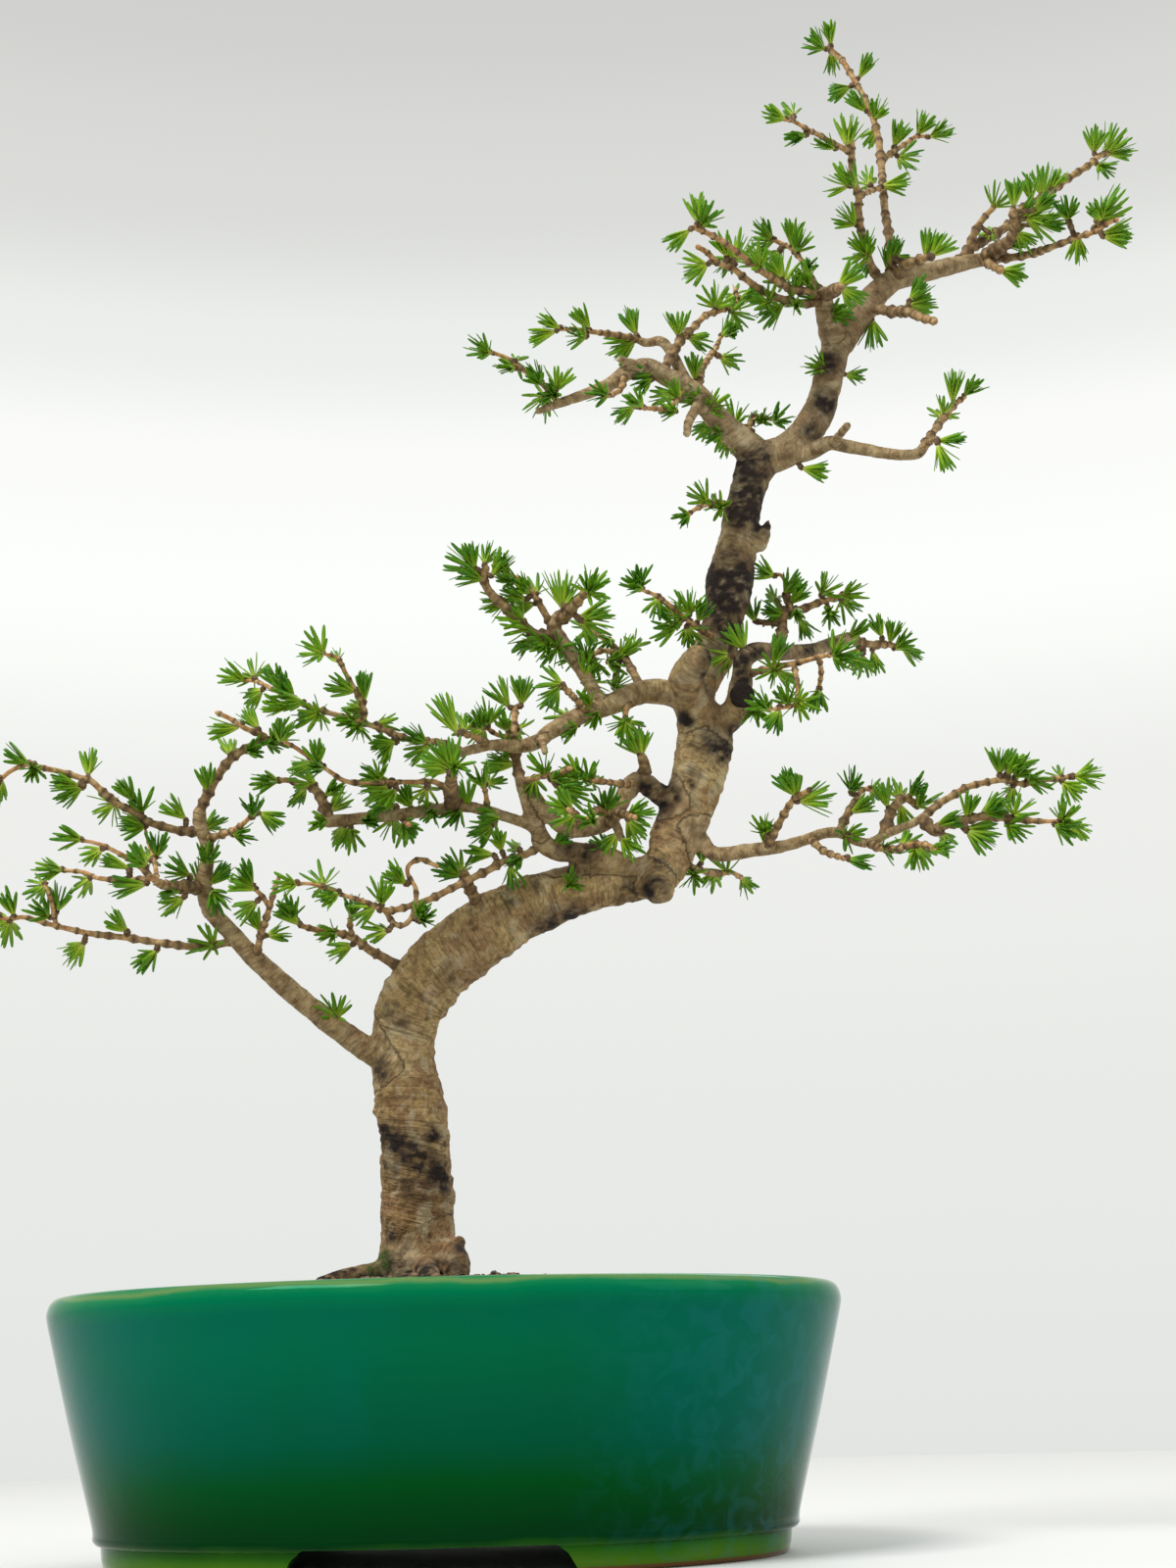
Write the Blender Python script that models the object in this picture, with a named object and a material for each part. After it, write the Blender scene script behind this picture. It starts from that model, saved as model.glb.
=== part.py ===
"""A larch bonsai in its glazed oval pot, at real size, in metres with +Z up.

The pot, the soil, the two drain screens, the trunk with its limbs, and one spray
of needles for each leafy twig. The tree follows lines read by eye off a photograph
as (x, y) pixels; sight() turns a pixel and a depth into a place in the pot's frame.
"""
import math
import random

import bmesh
import bpy
import numpy as np
from mathutils import Matrix, Vector, noise
from mathutils.bvhtree import BVHTree

MM = 0.001

# Pot sizes, in mm
POT_LENGTH = 300
POT_DEPTH = 236
POT_HEIGHT = 96
OVAL_POWER = 2.14
WALL = 8.5
FLOOR_TOP = 17
FLOOR_UNDERSIDE = 9.8
FOOT_GAP_TOP = 88
FOOT_GAP_BOTTOM = 100
DRAIN_RADIUS = 9
DRAIN_X = 55
POT_SIDES = 40

# Drain screens and soil, in mm
SCREEN_SIDE = 26
SCREEN_THICK = 1.2
SCREEN_CELLS = 7
SOIL_EDGE = 91
SOIL_MOUND = 11
SOIL_RINGS = 5
GAP = 0.3
STEM_GAP = 0.36

# The camera that took the photograph, in the pot's frame, in mm and radians
PHOTO_CENTRE = (600, 800)
PHOTO_FOCAL = 50 / 36 * 1600
CAMERA_PLACE = Vector((59, -856, 54))
CAMERA_PITCH = 0.277
CAMERA_ROLL = -0.026

# Needles and twigs, in mm
NEEDLE = 12.5
BUD = 1.55
DEPTH_SPREAD = 1.5
FORWARD_LEAN = 55
SOIL_LINE = 1306
TREE_RISE = 1250
ROOT_DEPTH = 28
TRUNK_SIDES = 9
LIMB_SIDES = 6
TWIG_SIDES = 3
STRAIGHT_ENOUGH = 1.1
SLIVER = 4e-6
SHORTEST_EDGE = 3.5e-6
NEEDLE_CLEAR = 0.62
BUD_CLEAR = 2.1
NODE_CLEAR = 0.15
OWN_CLEAR = 0.7
TUFT_SPACING = 4.6
SPRAY_KEEP = 0.62
TRUNK_KEEP = 0.6
LEAST_NEEDLES = 3
SEED = 7

# The trunk's middle line: x, y, width in pixels and depth in mm towards the viewer
TRUNK = (
    (425, 1306, 92, 0), (426, 1274, 78, 0), (426, 1240, 75, 0), (425, 1200, 73, 0),
    (424, 1160, 71, 0), (419, 1125, 71, 0), (412, 1090, 66, 0), (412, 1060, 64, 0),
    (418, 1030, 68, 1), (433, 1003, 70, 2), (465, 972, 70, 3), (510, 941, 66, 4),
    (555, 919, 58, 4), (600, 905, 50, 4), (640, 899, 44, 4), (668, 892, 46, 3),
    (682, 878, 47, 2), (690, 852, 51, 0), (705, 815, 53, -1), (716, 778, 54, -2),
    (720, 748, 54, -3), (709, 716, 43, -4), (714, 690, 48, -5), (730, 662, 44, -6),
    (737, 636, 42, -6),
    (743, 600, 44, -6), (749, 570, 43, -5), (755, 540, 37, -5), (761, 510, 36, -4),
    (768, 485, 36, -3), (780, 468, 36, -2),
)

# Wood that is too thick to be a leafy twig: it grows in one piece with the trunk.
# Each row: what it grows from, depth at its tip in mm towards the viewer,
# widths in pixels at its root and tip, route, tufts set straight on its bark.
LIMBS = {
    "burl": ("trunk", 12, 40, 30, "716,738 703,712 703,690 712,672", ""),
    "elbow": ("trunk", 8, 40, 30, "660,890 668,902 674,908", ""),
    "root_left": ("trunk", 14, 30, 12, "412,1290 385,1299 356,1302 326,1309", ""),
    "root_right": ("trunk", 10, 44, 28, "440,1266 460,1284 466,1304", ""),
    "root_front": ("trunk", 34, 44, 20, "428,1270 436,1292 446,1312", ""),
    "root_back": ("trunk", -34, 44, 20, "428,1270 420,1284 408,1296", ""),
    "low_left": ("trunk", 16, 27, 14,
        "412,1092 385,1078 345,1050 300,1014 262,980 236,952 215,928 208,905 "
        "211,880 211,860 204,842 204,828",
        "344,1038>338,1020 205,905>200,872 213,903>238,884 216,908>230,932 "
        "208,846>222,830 211,882>221,866"),
    "inner_low": ("trunk", 10, 24, 20, "655,892 625,877 590,870 563,866 550,856",
        "565,862>585,852 612,872>628,892 625,872>600,858 580,902>588,906"),
    "inner_arch": ("trunk", 18, 22, 15,
        "692,828 670,808 652,796 640,806 632,822 620,838 600,845 578,846 562,833 "
        "548,817 538,804", ""),
    "inner_spur": ("inner_arch", 22, 12, 9, "624,834 630,845 634,856",
        "634,856>652,876 630,850>617,858"),
    "inner_rise": ("inner_low", 20, 19, 12, "552,862 548,845 541,828 535,810 530,795", ""),
    "mid_left": ("inner_rise", 24, 12, 14,
        "548,846 530,838 512,832 492,826 470,823 440,827 410,831 380,834 350,837 334,838",
        "512,834>484,838 504,842>478,852 478,824>470,796 470,826>462,846 446,822>420,826 "
        "440,826>446,842 420,824>408,806 402,834>388,842 404,822>374,826 372,838>384,846 "
        "352,842>340,854 358,846>358,870 334,838>322,846 336,828>352,806 392,820>386,804"),
    "upper_left": ("trunk", 26, 28, 10,
        "694,708 665,705 645,710 625,718 600,727 580,736 562,746 548,757 527,762 505,760 "
        "485,764 468,769",
        "604,722>592,718 580,730>566,734 590,740>574,756 612,726>604,744"),
    "upper_peg": ("upper_left", 26, 9, 8, "555,752 555,762 556,768", ""),
    "mid_up": ("upper_left", 10, 14, 16,
        "614,716 602,698 592,682 582,668 572,652 564,640 572,628",
        "596,690>606,672 600,697>616,700 560,658>552,674 568,660>568,678"),
    "stump": ("trunk", 4, 34, 18, "728,745 748,728 756,700 758,672",
        "770,722>772,740"),
    "left_fork": ("trunk", 20, 32, 8,
        "782,470 762,455 740,436 716,408 700,395 680,384 660,374 640,380 622,392 598,402 "
        "572,411 549,420",
        "722,418>738,420 728,430>712,432 716,408>694,408 738,442>722,456 745,440>744,466 "
        "668,382>640,392 664,388>650,406"),
    "left_rise": ("left_fork", 2, 15, 9, "706,402 696,382 686,362 675,348 660,350 650,346", ""),
    "left_stub": ("left_fork", 18, 10, 8, "658,374 644,370 632,367", ""),
    "left_peg": ("left_fork", 22, 13, 9, "712,412 703,430 701,443", ""),
    "crown": ("trunk", 2, 36, 30, "782,470 805,458 826,436 838,412 845,388 851,362 856,346",
        "842,376>822,380 862,382>884,374"),
    "crown_left": ("crown", 10, 28, 18, "856,352 846,332 841,312 842,300",
        "848,322>862,330 850,312>872,316 836,306>812,300"),
    "crown_right": ("crown", -6, 32, 14,
        "856,352 872,328 890,305 912,286 935,280 965,273 990,267 1008,264",
        "890,326>890,360 900,282>880,262 905,276>908,248"),
    "right_spar": ("trunk", 14, 18, 11,
        "796,470 822,463 846,452 862,455 890,460 915,464 936,463 943,455",
        "818,478>846,488"),
    "spar_stub": ("right_spar", 18, 10, 9, "850,452 859,441 865,434", ""),
    "right_mid": ("stump", -30, 20, 12, "758,668 775,664 800,666 830,663 850,656 866,650",
        "760,664>742,634 745,668>722,676"),
    "right_low": ("trunk", 22, 17, 9,
        "700,848 714,856 723,868 737,872 770,867 797,864 822,857 842,850 858,850 874,858 888,860 "
        "906,850 928,842 945,832",
        "780,862>783,840"),
}
# Leafy twigs: a twig that grows from a limb starts a spray of its own, and the twigs
# that grow from it belong to the same spray. Same columns as above.
TWIGS = {
    "low_far": ("low_left", 30, 9, 5,
        "236,966 205,966 170,963 130,957 95,953 75,949 50,943 25,936 8,938 -6,934",
        "14,934>10,914 10,940>-12,956 -2,936>-27,930 130,950>110,934 86,962>62,980 "
        "160,970>142,992 218,965>203,962"),
    "low_far_spur": ("low_far", 40, 6, 4, "58,942 52,918 46,903",
        "58,930>68,903 46,903>26,905 50,936>38,929"),
    "low_inner": ("low_left", 40, 9, 5, "266,974 266,955 272,936 279,912 285,894",
        "265,950>256,930 272,955>290,945"),
    "low_inner_side": ("low_inner", 30, 6, 5, "276,926 268,915 258,905",
        "262,908>234,902 262,920>236,934 258,904>250,882"),
    "low_tip": ("low_left", 36, 13, 8, "205,908 185,904 165,902 156,896",
        "194,893>170,885 188,916>160,926 184,910>168,912"),
    "low_tip_top": ("low_tip", 46, 7, 4, "158,897 137,880 120,870 100,861 80,857",
        "84,857>58,855 105,866>80,869 150,884>132,872"),
    "low_tip_out": ("low_tip", 28, 7, 4, "156,897 128,898 100,896 85,890 62,888",
        "64,888>43,892 92,896>72,902 132,886>104,880 150,902>108,906"),
    "low_tip_rear": ("low_tip", 14, 6, 3, "160,898 158,880 152,862 148,845",
        "160,874>167,852 154,878>146,866"),
    "far_left": ("low_left", 30, 10, 5,
        "204,850 185,848 165,843 150,838 135,828 120,820 105,808 93,797 80,793 60,787 "
        "45,784 30,780 14,785 2,794 -6,803",
        "30,780>6,768 2,796>-12,814 -4,800>-28,794 34,783>42,798 90,792>88,762 "
        "82,802>54,802 84,804>62,822 117,820>94,830 137,817>122,799 145,829>149,813 "
        "152,840>120,836 148,844>124,850 190,836>168,818"),
    "rise_right": ("low_left", 30, 9, 5, "210,857 222,853 234,849 245,843 256,833",
        "258,834>262,822 264,829>286,840 238,852>260,858"),
    "rise_top": ("low_left", 26, 12, 5,
        "204,828 211,812 222,792 236,774 254,762 272,753 250,743 236,734 221,727",
        "213,810>212,782 235,771>230,750 252,767>271,770 245,742>210,748 264,744>245,721 "
        "278,756>300,750 272,758>290,768"),
    "left_low": ("trunk", 14, 12, 6,
        "408,988 393,978 378,970 362,958 345,952 328,950 308,945",
        "306,944>284,926 360,964>334,970 342,952>334,958 300,936>294,925"),
    "left_low_spur": ("left_low", 20, 6, 6, "360,956 357,942 359,933", "358,934>364,922"),
    "inner_thin": ("inner_low", 30, 9, 7,
        "552,866 536,872 516,878 500,887 480,897 460,907 440,917 420,924 400,929 388,928",
        "532,874>524,888 520,882>528,906 504,872>470,872 512,868>504,850 530,866>520,856"),
    "inner_thin_left": ("inner_thin", 40, 6, 4,
        "390,928 372,920 352,914 336,908 318,902 300,902",
        "302,902>283,912 330,904>322,888 345,912>332,926 390,922>390,905 384,924>356,930"),
    "inner_thin_hook": ("inner_thin", 24, 6, 5,
        "392,932 402,942 412,944 420,936 424,922 424,906 416,892 418,882 430,877 446,884",
        "414,902>394,890 396,950>372,946 430,940>442,942 426,936>430,934"),
    "knob_spur": ("trunk", 16, 14, 12, "486,924 480,908 474,892", "470,894>446,886 472,890>462,866"),
    "rise_left": ("mid_left", 30, 8, 5, "474,824 460,810 444,798 424,798 404,798 392,798",
        "400,798>360,792 398,802>364,808 404,806>390,826 388,796>384,788 436,804>424,812"),
    "rise_left_end": ("rise_left", 38, 6, 5, "392,798 356,798 336,787 316,773 300,762 288,756",
        "324,780>324,764 320,778>294,780 286,758>296,742 330,784>320,794"),
    "mid_tip": ("mid_left", 20, 14, 5, "336,836 330,820 322,806 308,800 292,796 278,798",
        "284,797>264,804 312,804>294,814 322,800>300,790 332,812>350,808"),
    "mid_spur": ("mid_left", 20, 6, 5, "498,826 496,812 494,802", "494,804>486,788 496,800>508,788"),
    "mid_hang": ("mid_left", 34, 6, 5, "408,834 412,838 418,842", "412,838>424,856 414,838>412,850"),
    "top_rise": ("inner_rise", 14, 12, 7, "532,800 527,778 524,755 525,734 526,722",
        "520,722>500,690 532,720>534,686 526,780>490,776 522,768>504,768 528,744>532,736 "
        "518,746>512,738"),
    "top_rise_side": ("top_rise", 24, 6, 4, "524,752 508,750 494,742 478,742",
        "498,740>498,724 494,744>478,742 492,744>486,734"),
    "rise_brush": ("inner_rise", 34, 8, 6, "534,798 552,792 568,790 582,784",
        "556,790>550,780 546,794>540,806 562,796>586,800 566,800>604,806 568,802>608,826"),
    "near_fan": ("inner_arch", 44, 8, 6, "594,846 588,832 580,826", "584,828>562,816 588,830>566,830"),
    "arch_right": ("inner_arch", 30, 9, 6, "628,828 640,832 648,834", "640,832>664,832 640,836>656,852"),
    "arch_left": ("inner_arch", 34, 8, 6, "624,832 610,826 600,836",
        "618,832>606,820 632,816>622,814 606,838>596,842 618,828>628,812"),
    "arch_top": ("inner_arch", 20, 8, 6, "652,798 640,800 620,798 604,796",
        "600,796>600,784 604,798>606,788 592,792>572,794"),
    "elbow_fan": ("inner_arch", 8, 16, 11, "656,796 658,784 655,772",
        "655,772>652,740 652,770>636,746"),
    "big_fans": ("upper_left", 34, 8, 6, "500,760 484,752 470,748", "468,750>444,708 472,746>468,728"),
    "big_low": ("mid_left", 46, 14, 11, "462,826 460,806 461,788",
        "461,786>452,748 456,782>424,770 464,782>474,790 460,786>430,758"),
    "big_left": ("upper_left", 40, 8, 6,
        "474,766 450,758 420,755 395,746 372,738 345,730 318,722 300,714",
        "436,758>412,752 440,760>410,776 402,756>386,780 404,758>380,764 384,738>398,734 "
        "366,740>372,758 362,736>352,744 372,726>352,720 300,712>280,700 326,728>318,744 "
        "330,724>300,730 310,716>286,724"),
    "big_left_up": ("big_left", 44, 7, 4, "372,736 370,718 360,700 352,686 345,672 330,667",
        "330,667>306,662 345,676>340,658 362,706>336,702 372,716>372,686 370,720>358,712"),
    "big_left_end": ("big_left", 30, 6, 4, "302,714 284,706 272,700 260,695 246,694",
        "250,694>226,694 260,692>250,672 288,704>274,682 292,710>288,690 268,704>246,710 "
        "296,722>270,726"),
    "top_left": ("mid_up", 16, 13, 9,
        "566,648 548,648 532,636 518,622 505,610 497,600 493,588 496,580",
        "494,592>464,584 490,588>470,572 488,582>448,566 484,580>476,560 494,576>500,550 "
        "502,588>520,566 540,642>510,640 544,650>520,664 534,634>508,622 556,656>528,652"),
    "top_mid": ("mid_up", 12, 9, 5, "564,640 556,626 549,614 540,600 528,590 514,587",
        "520,588>508,582 548,606>546,586 540,606>530,602 528,594>506,592 546,616>522,616 "
        "536,612>512,606 520,612>486,622"),
    "top_fan": ("mid_up", 28, 14, 8, "570,634 578,628 588,616 598,604",
        "574,622>566,578 576,618>590,594 600,606>606,600 590,630>630,622 594,634>628,642 "
        "600,604>612,600"),
    "top_right": ("upper_left", -14, 11, 6, "656,704 646,686 636,670 622,656 606,643 594,636",
        "632,672>650,656 646,660>652,644 620,676>636,684 622,652>616,668 600,640>590,640"),
    "top_right_low": ("top_right", 4, 7, 5, "634,668 615,664 600,671 588,674",
        "606,674>606,694 590,668>578,658 626,702>636,704 598,672>584,660"),
    "under_fan": ("upper_left", 10, 9, 6, "652,706 640,722 638,735", "638,736>632,756 640,736>652,744"),
    "mid_fan": ("upper_left", 30, 8, 6, "600,728 586,712 574,700", "574,698>540,700 570,702>552,716"),
    "stem_left": ("trunk", 22, 8, 4,
        "740,662 726,650 712,640 698,630 684,618 670,608 655,602",
        "656,602>638,602 672,610>668,616 704,626>700,606 712,634>720,622 704,636>698,652 "
        "694,632>676,632 690,640>664,644 700,640>716,648 652,600>654,592"),
    "right_far": ("right_mid", -44, 10, 6, "866,652 880,656 895,658 908,658 922,662",
        "908,656>912,636 920,660>942,668 900,650>888,634 912,662>932,656 890,664>900,680 "
        "876,662>862,682 866,652>884,640 880,668>884,686"),
    "right_top": ("right_mid", -20, 14, 5,
        "792,664 798,644 800,628 818,622 838,614 852,610 862,606",
        "860,608>880,608 858,612>872,626 838,606>850,598 800,606>816,592 792,612>788,598 "
        "800,628>776,624 770,634>762,616 816,632>830,644 846,624>846,640 806,616>826,604 "
        "800,620>784,632 812,620>812,640"),
    "right_curl": ("right_top", -10, 5, 4, "804,616 803,600 798,588 792,586", "790,588>766,586"),
    "right_front": ("stump", 24, 9, 5, "762,690 778,684 795,680 815,676 838,670 850,668",
        "790,676>800,650 792,684>816,694 850,668>868,656 850,670>866,682 862,670>888,672 "
        "790,684>784,692"),
    "right_hang": ("right_front", 10, 6, 5, "836,672 838,686 836,700", "836,704>832,730"),
    "right_small": ("right_front", 36, 6, 4, "810,678 814,700 812,718 800,722 786,724",
        "804,718>796,706 796,724>786,740 784,724>766,718 814,716>814,726"),
    "low_up": ("right_low", 36, 10, 6, "782,866 794,842 804,824 812,814 826,806",
        "812,812>792,790 814,818>856,812 812,816>806,786 780,850>776,846"),
    "low_hang": ("right_low", 36, 9, 5, "828,860 840,868 855,874 866,877", "864,877>888,886"),
    "low_fork": ("right_low", 8, 10, 5, "856,850 863,834 872,818 880,806 890,806",
        "868,808>868,794 888,806>904,800 868,830>892,818 862,852>872,862"),
    "low_mid": ("right_low", 46, 9, 6, "884,862 900,866 916,866 930,862 944,862 956,866",
        "900,864>914,874 920,864>934,850 934,866>930,890 948,866>966,872 936,862>944,878"),
    "low_knob": ("right_low", 12, 14, 8, "902,852 908,832 912,824 922,814 934,820",
        "906,824>896,796 920,816>914,796 928,812>938,802 936,824>948,812 918,820>930,840"),
    "low_tail": ("right_low", 20, 9, 5,
        "942,834 957,821 972,812 988,803 1008,798 1024,796 1045,800 1066,796 1090,793",
        "1020,790>1018,760 1030,782>1056,772 1036,792>1046,788 1048,796>1066,806 "
        "1084,794>1086,782 1096,792>1122,798 1084,798>1098,822 1034,802>1032,808 "
        "1026,790>1044,778"),
    "low_end": ("right_low", 38, 14, 4,
        "940,834 950,846 956,848 962,842 985,836 1010,833 1035,836 1060,838 1082,838",
        "986,836>990,812 1000,832>1026,812 1034,832>1046,812 1084,838>1082,828 "
        "1090,840>1116,844 1076,842>1092,858 1028,842>1040,858 984,846>1024,852 "
        "986,848>1014,866 956,842>980,838 962,850>974,858 1004,830>1024,828"),
    "back_twig": ("trunk", -30, 8, 5, "700,882 716,888 732,892 746,890 756,896",
        "742,890>728,878 756,896>768,902 716,880>716,864 708,892>706,906 730,890>724,900"),
    "spar_top": ("right_spar", -6, 10, 6, "942,458 950,444 962,428 974,413 984,405",
        "972,412>976,374 962,426>968,404 984,404>996,400"),
    "spar_low": ("right_spar", 26, 7, 5, "948,450 954,448 957,450", "956,450>982,456 956,452>970,484"),
    "crown_bud": ("trunk", 12, 8, 4, "756,512 744,514 730,514 718,516 706,522 702,528",
        "722,512>702,504 732,514>724,500 736,518>730,526 703,524>692,540"),
    "fork_twig": ("left_fork", -12, 8, 4, "762,452 764,436 774,426 790,429",
        "750,434>742,424 768,424>770,416 778,430>776,438 788,430>802,434 768,440>774,446"),
    "left_end": ("left_rise", 16, 8, 4, "652,346 635,343 616,340 600,338 586,336 568,336",
        "572,336>550,332 568,338>536,346 602,336>584,320 598,344>580,352 650,342>638,312 "
        "648,348>616,364"),
    "left_tail": ("left_fork", 30, 8, 4,
        "570,411 562,401 550,388 538,380 528,374 518,366 506,361 498,360",
        "500,360>482,364 526,368>526,358 526,376>508,384 552,392>542,386 556,404>540,410 "
        "568,398>570,382 566,402>558,414"),
    "left_drop": ("left_fork", 30, 8, 5, "638,382 634,396 626,402 618,404", "620,404>606,412"),
    "left_under": ("left_fork", 30, 7, 5, "696,400 684,416 668,417 655,416",
        "656,416>640,414 648,414>622,422 690,420>676,428 694,408>676,402 690,402>664,404"),
    "left_top": ("left_fork", -18, 10, 4,
        "684,364 694,348 706,336 720,322 732,318 748,312 752,304 750,294",
        "692,344>690,316 702,344>724,340 730,314>730,300 746,318>770,328 750,300>752,290 "
        "754,306>776,306"),
    "left_mid": ("left_fork", -26, 9, 4, "710,406 713,392 716,378 724,364 730,356 738,338",
        "709,388>709,368 734,364>756,360 736,344>750,336 742,342>750,348"),
    "crown_arm": ("crown_left", 24, 10, 6,
        "842,306 824,310 800,306 780,298 760,284 748,274 732,268 722,258 712,252",
        "722,270>690,280 750,268>750,232 742,262>728,250 808,304>806,292 800,310>772,330 "
        "812,312>808,326 784,308>776,316 748,264>734,262"),
    "crown_low": ("crown_left", 40, 9, 6,
        "842,304 826,298 806,294 792,286 776,276 758,262 740,248 722,238 708,232",
        "712,228>706,196 704,234>676,254 798,284>780,268 826,292>814,286 800,288>796,262 "
        "776,272>764,262 716,230>726,226"),
    "crown_up": ("crown_left", 2, 8, 5, "840,302 828,284 818,266 808,254 800,250 788,244",
        "788,244>770,236 790,246>764,246 808,252>808,226 812,258>820,250 796,256>786,258 "
        "822,276>824,282"),
    "crown_knob": ("crown_left", 30, 13, 10, "842,302 852,296 858,293", "856,292>878,276 858,294>880,296"),
    "tower": ("crown_right", 14, 9, 8,
        "896,290 888,268 882,250 878,232 876,214 876,200 870,180 869,160 869,146",
        "884,260>872,248 888,256>876,262 874,230>850,222 874,192>856,180 866,190>846,172 "
        "886,262>866,258"),
    "tower_left": ("tower", 32, 7, 4, "868,156 850,146 836,138 824,132 810,124 800,122",
        "802,122>776,124 810,118>804,98 822,138>802,152 852,152>830,154 864,150>862,116 "
        "866,150>872,118"),
    "tower_right": ("tower", -8, 7, 5, "879,199 890,194 898,192", "900,190>932,188 888,188>886,170"),
    "spire": ("crown_right", -22, 10, 6,
        "908,282 910,264 907,240 903,215 901,190 899,165 896,140 890,118 882,100 874,86 "
        "866,72 858,60 846,50",
        "876,80>890,58 868,88>842,90 884,114>862,100 892,122>894,116 848,52>854,60 "
        "848,46>842,38 842,50>820,48 896,130>884,134"),
    "spire_side": ("spire", -34, 7, 4, "901,164 910,156 922,148 934,140 944,139",
        "912,150>922,130 916,160>944,164 936,138>948,122 948,140>972,138"),
    "crest": ("crown_right", 12, 14, 8, "912,284 924,270 936,266 950,262",
        "908,268>914,252 912,262>932,256 944,262>950,238 950,262>972,244"),
    "crest_low": ("crown_right", 34, 12, 8, "896,322 910,318 926,318 940,324 954,328",
        "926,312>958,304 924,316>950,316 928,306>946,292"),
    "far_top": ("crown_right", -24, 12, 6,
        "975,268 990,254 1010,242 1032,228 1042,214 1066,200 1090,182 1112,168 1124,158 "
        "1144,156",
        "1116,156>1118,132 1128,156>1152,130 1130,158>1158,148 1120,168>1130,186 "
        "1064,200>1062,164 1070,196>1088,172 1052,206>1046,188"),
    "far_rise": ("far_top", -2, 9, 6, "986,256 996,234 1006,220 1014,212",
        "1014,212>1030,192 1010,238>1014,228"),
    "far_mid": ("crown_right", 20, 14, 10, "1004,266 1012,258 1030,246 1036,232 1034,216",
        "1034,212>1034,184 1036,236>1056,244 1040,226>1060,212 1022,250>1048,248 "
        "1046,222>1090,222 1060,228>1084,234 1056,214>1074,210"),
    "far_right": ("crown_right", 34, 10, 5,
        "1008,264 1030,263 1052,259 1076,251 1100,242 1118,236 1130,228 1140,224",
        "1116,232>1150,194 1124,238>1160,238 1126,242>1152,252 1124,226>1108,216 "
        "1100,240>1106,256 1090,224>1082,218 1118,224>1144,206"),
    "far_low": ("crown_right", 10, 10, 7, "1004,268 1014,272 1022,276", "1020,276>1048,288"),
}

# Short twigs that share the trunk's node.
FUSED = {
    "mid_spur", "mid_hang", "under_fan", "mid_fan", "elbow_fan", "far_low", "spar_low",
    "knob_spur", "low_hang", "left_drop", "arch_right", "crown_knob", "near_fan", "big_fans",
}


def sight(px, py, near):
    """The point, in mm, seen at a pixel, `near` mm in front of the pot's middle."""
    forward = Vector((0, math.cos(CAMERA_PITCH), math.sin(CAMERA_PITCH)))
    level_up = Vector((0, -math.sin(CAMERA_PITCH), math.cos(CAMERA_PITCH)))
    right = math.cos(CAMERA_ROLL) * Vector((1, 0, 0)) + math.sin(CAMERA_ROLL) * level_up
    up = math.cos(CAMERA_ROLL) * level_up - math.sin(CAMERA_ROLL) * Vector((1, 0, 0))
    ray = forward * PHOTO_FOCAL + right * (px - PHOTO_CENTRE[0]) + up * (PHOTO_CENTRE[1] - py)
    return CAMERA_PLACE + ray * ((-near - CAMERA_PLACE.y) / ray.y)


def on_tree(px, py, near):
    """Like sight(), with the tree leaning towards the viewer as it rises."""
    return sight(px, py, near + FORWARD_LEAN * (SOIL_LINE - py) / TREE_RISE)


def pixel_size(point):
    """How many mm one pixel of the photograph covers at a point."""
    forward = Vector((0, math.cos(CAMERA_PITCH), math.sin(CAMERA_PITCH)))
    return (point - CAMERA_PLACE).dot(forward) / PHOTO_FOCAL


def read_route(text):
    return [tuple(float(v) for v in pair.split(",")) for pair in text.split()]


def nearest_on(route, spot):
    """Where a pixel meets a route: segment number and the share along it."""
    best = (1e9, 0, 0.0)
    for i in range(len(route) - 1):
        a = Vector(route[i][:2])
        run = Vector(route[i + 1][:2]) - a
        share = max(0.0, min(1.0, (Vector(spot) - a).dot(run) / max(run.length_squared, 1e-9)))
        away = (a + run * share - Vector(spot)).length
        if away < best[0]:
            best = (away, i, share)
    return best[1], best[2]


class Stem:
    """One run of wood: its route, its depths, its places in mm and its radii in mm."""

    def __init__(self, name, node, route, nears, widths, tufts):
        self.name = name
        self.node = node
        self.route = route
        self.nears = nears
        self.places = [on_tree(x, y, d) for (x, y), d in zip(route, nears)]
        self.radii = [w / 2 * pixel_size(p) for w, p in zip(widths, self.places)]
        self.tufts = tufts

    def at(self, spot):
        """Depth, place and radius where the stem passes a pixel."""
        i, share = nearest_on(self.route, spot)
        near = self.nears[i] * (1 - share) + self.nears[i + 1] * share
        place = self.places[i].lerp(self.places[i + 1], share)
        return near, place, self.radii[i] * (1 - share) + self.radii[i + 1] * share


def grade(route, first, last):
    """Values that change evenly along a route, from its root to its tip."""
    steps = [0.0]
    for a, b in zip(route, route[1:]):
        steps.append(steps[-1] + math.dist(a, b))
    return [first + (last - first) * s / steps[-1] for s in steps]


def segment_gap(a, b, starts, ends):
    """Least distances from the segment a-b to many segments."""
    d1 = b - a
    d2 = ends - starts
    r = a - starts
    aa = max(d1 @ d1, 1e-9)
    ee = np.maximum((d2 * d2).sum(1), 1e-9)
    f = (d2 * r).sum(1)
    c = r @ d1
    bb = d2 @ d1
    spread = np.maximum(aa * ee - bb * bb, 1e-9)
    s = np.clip((bb * f - c * ee) / spread, 0, 1)
    t = np.clip((bb * s + f) / ee, 0, 1)
    s = np.clip((bb * t - c) / aa, 0, 1)
    apart = (a + s[:, None] * d1) - (starts + t[:, None] * d2)
    return np.sqrt((apart * apart).sum(1))


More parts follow.
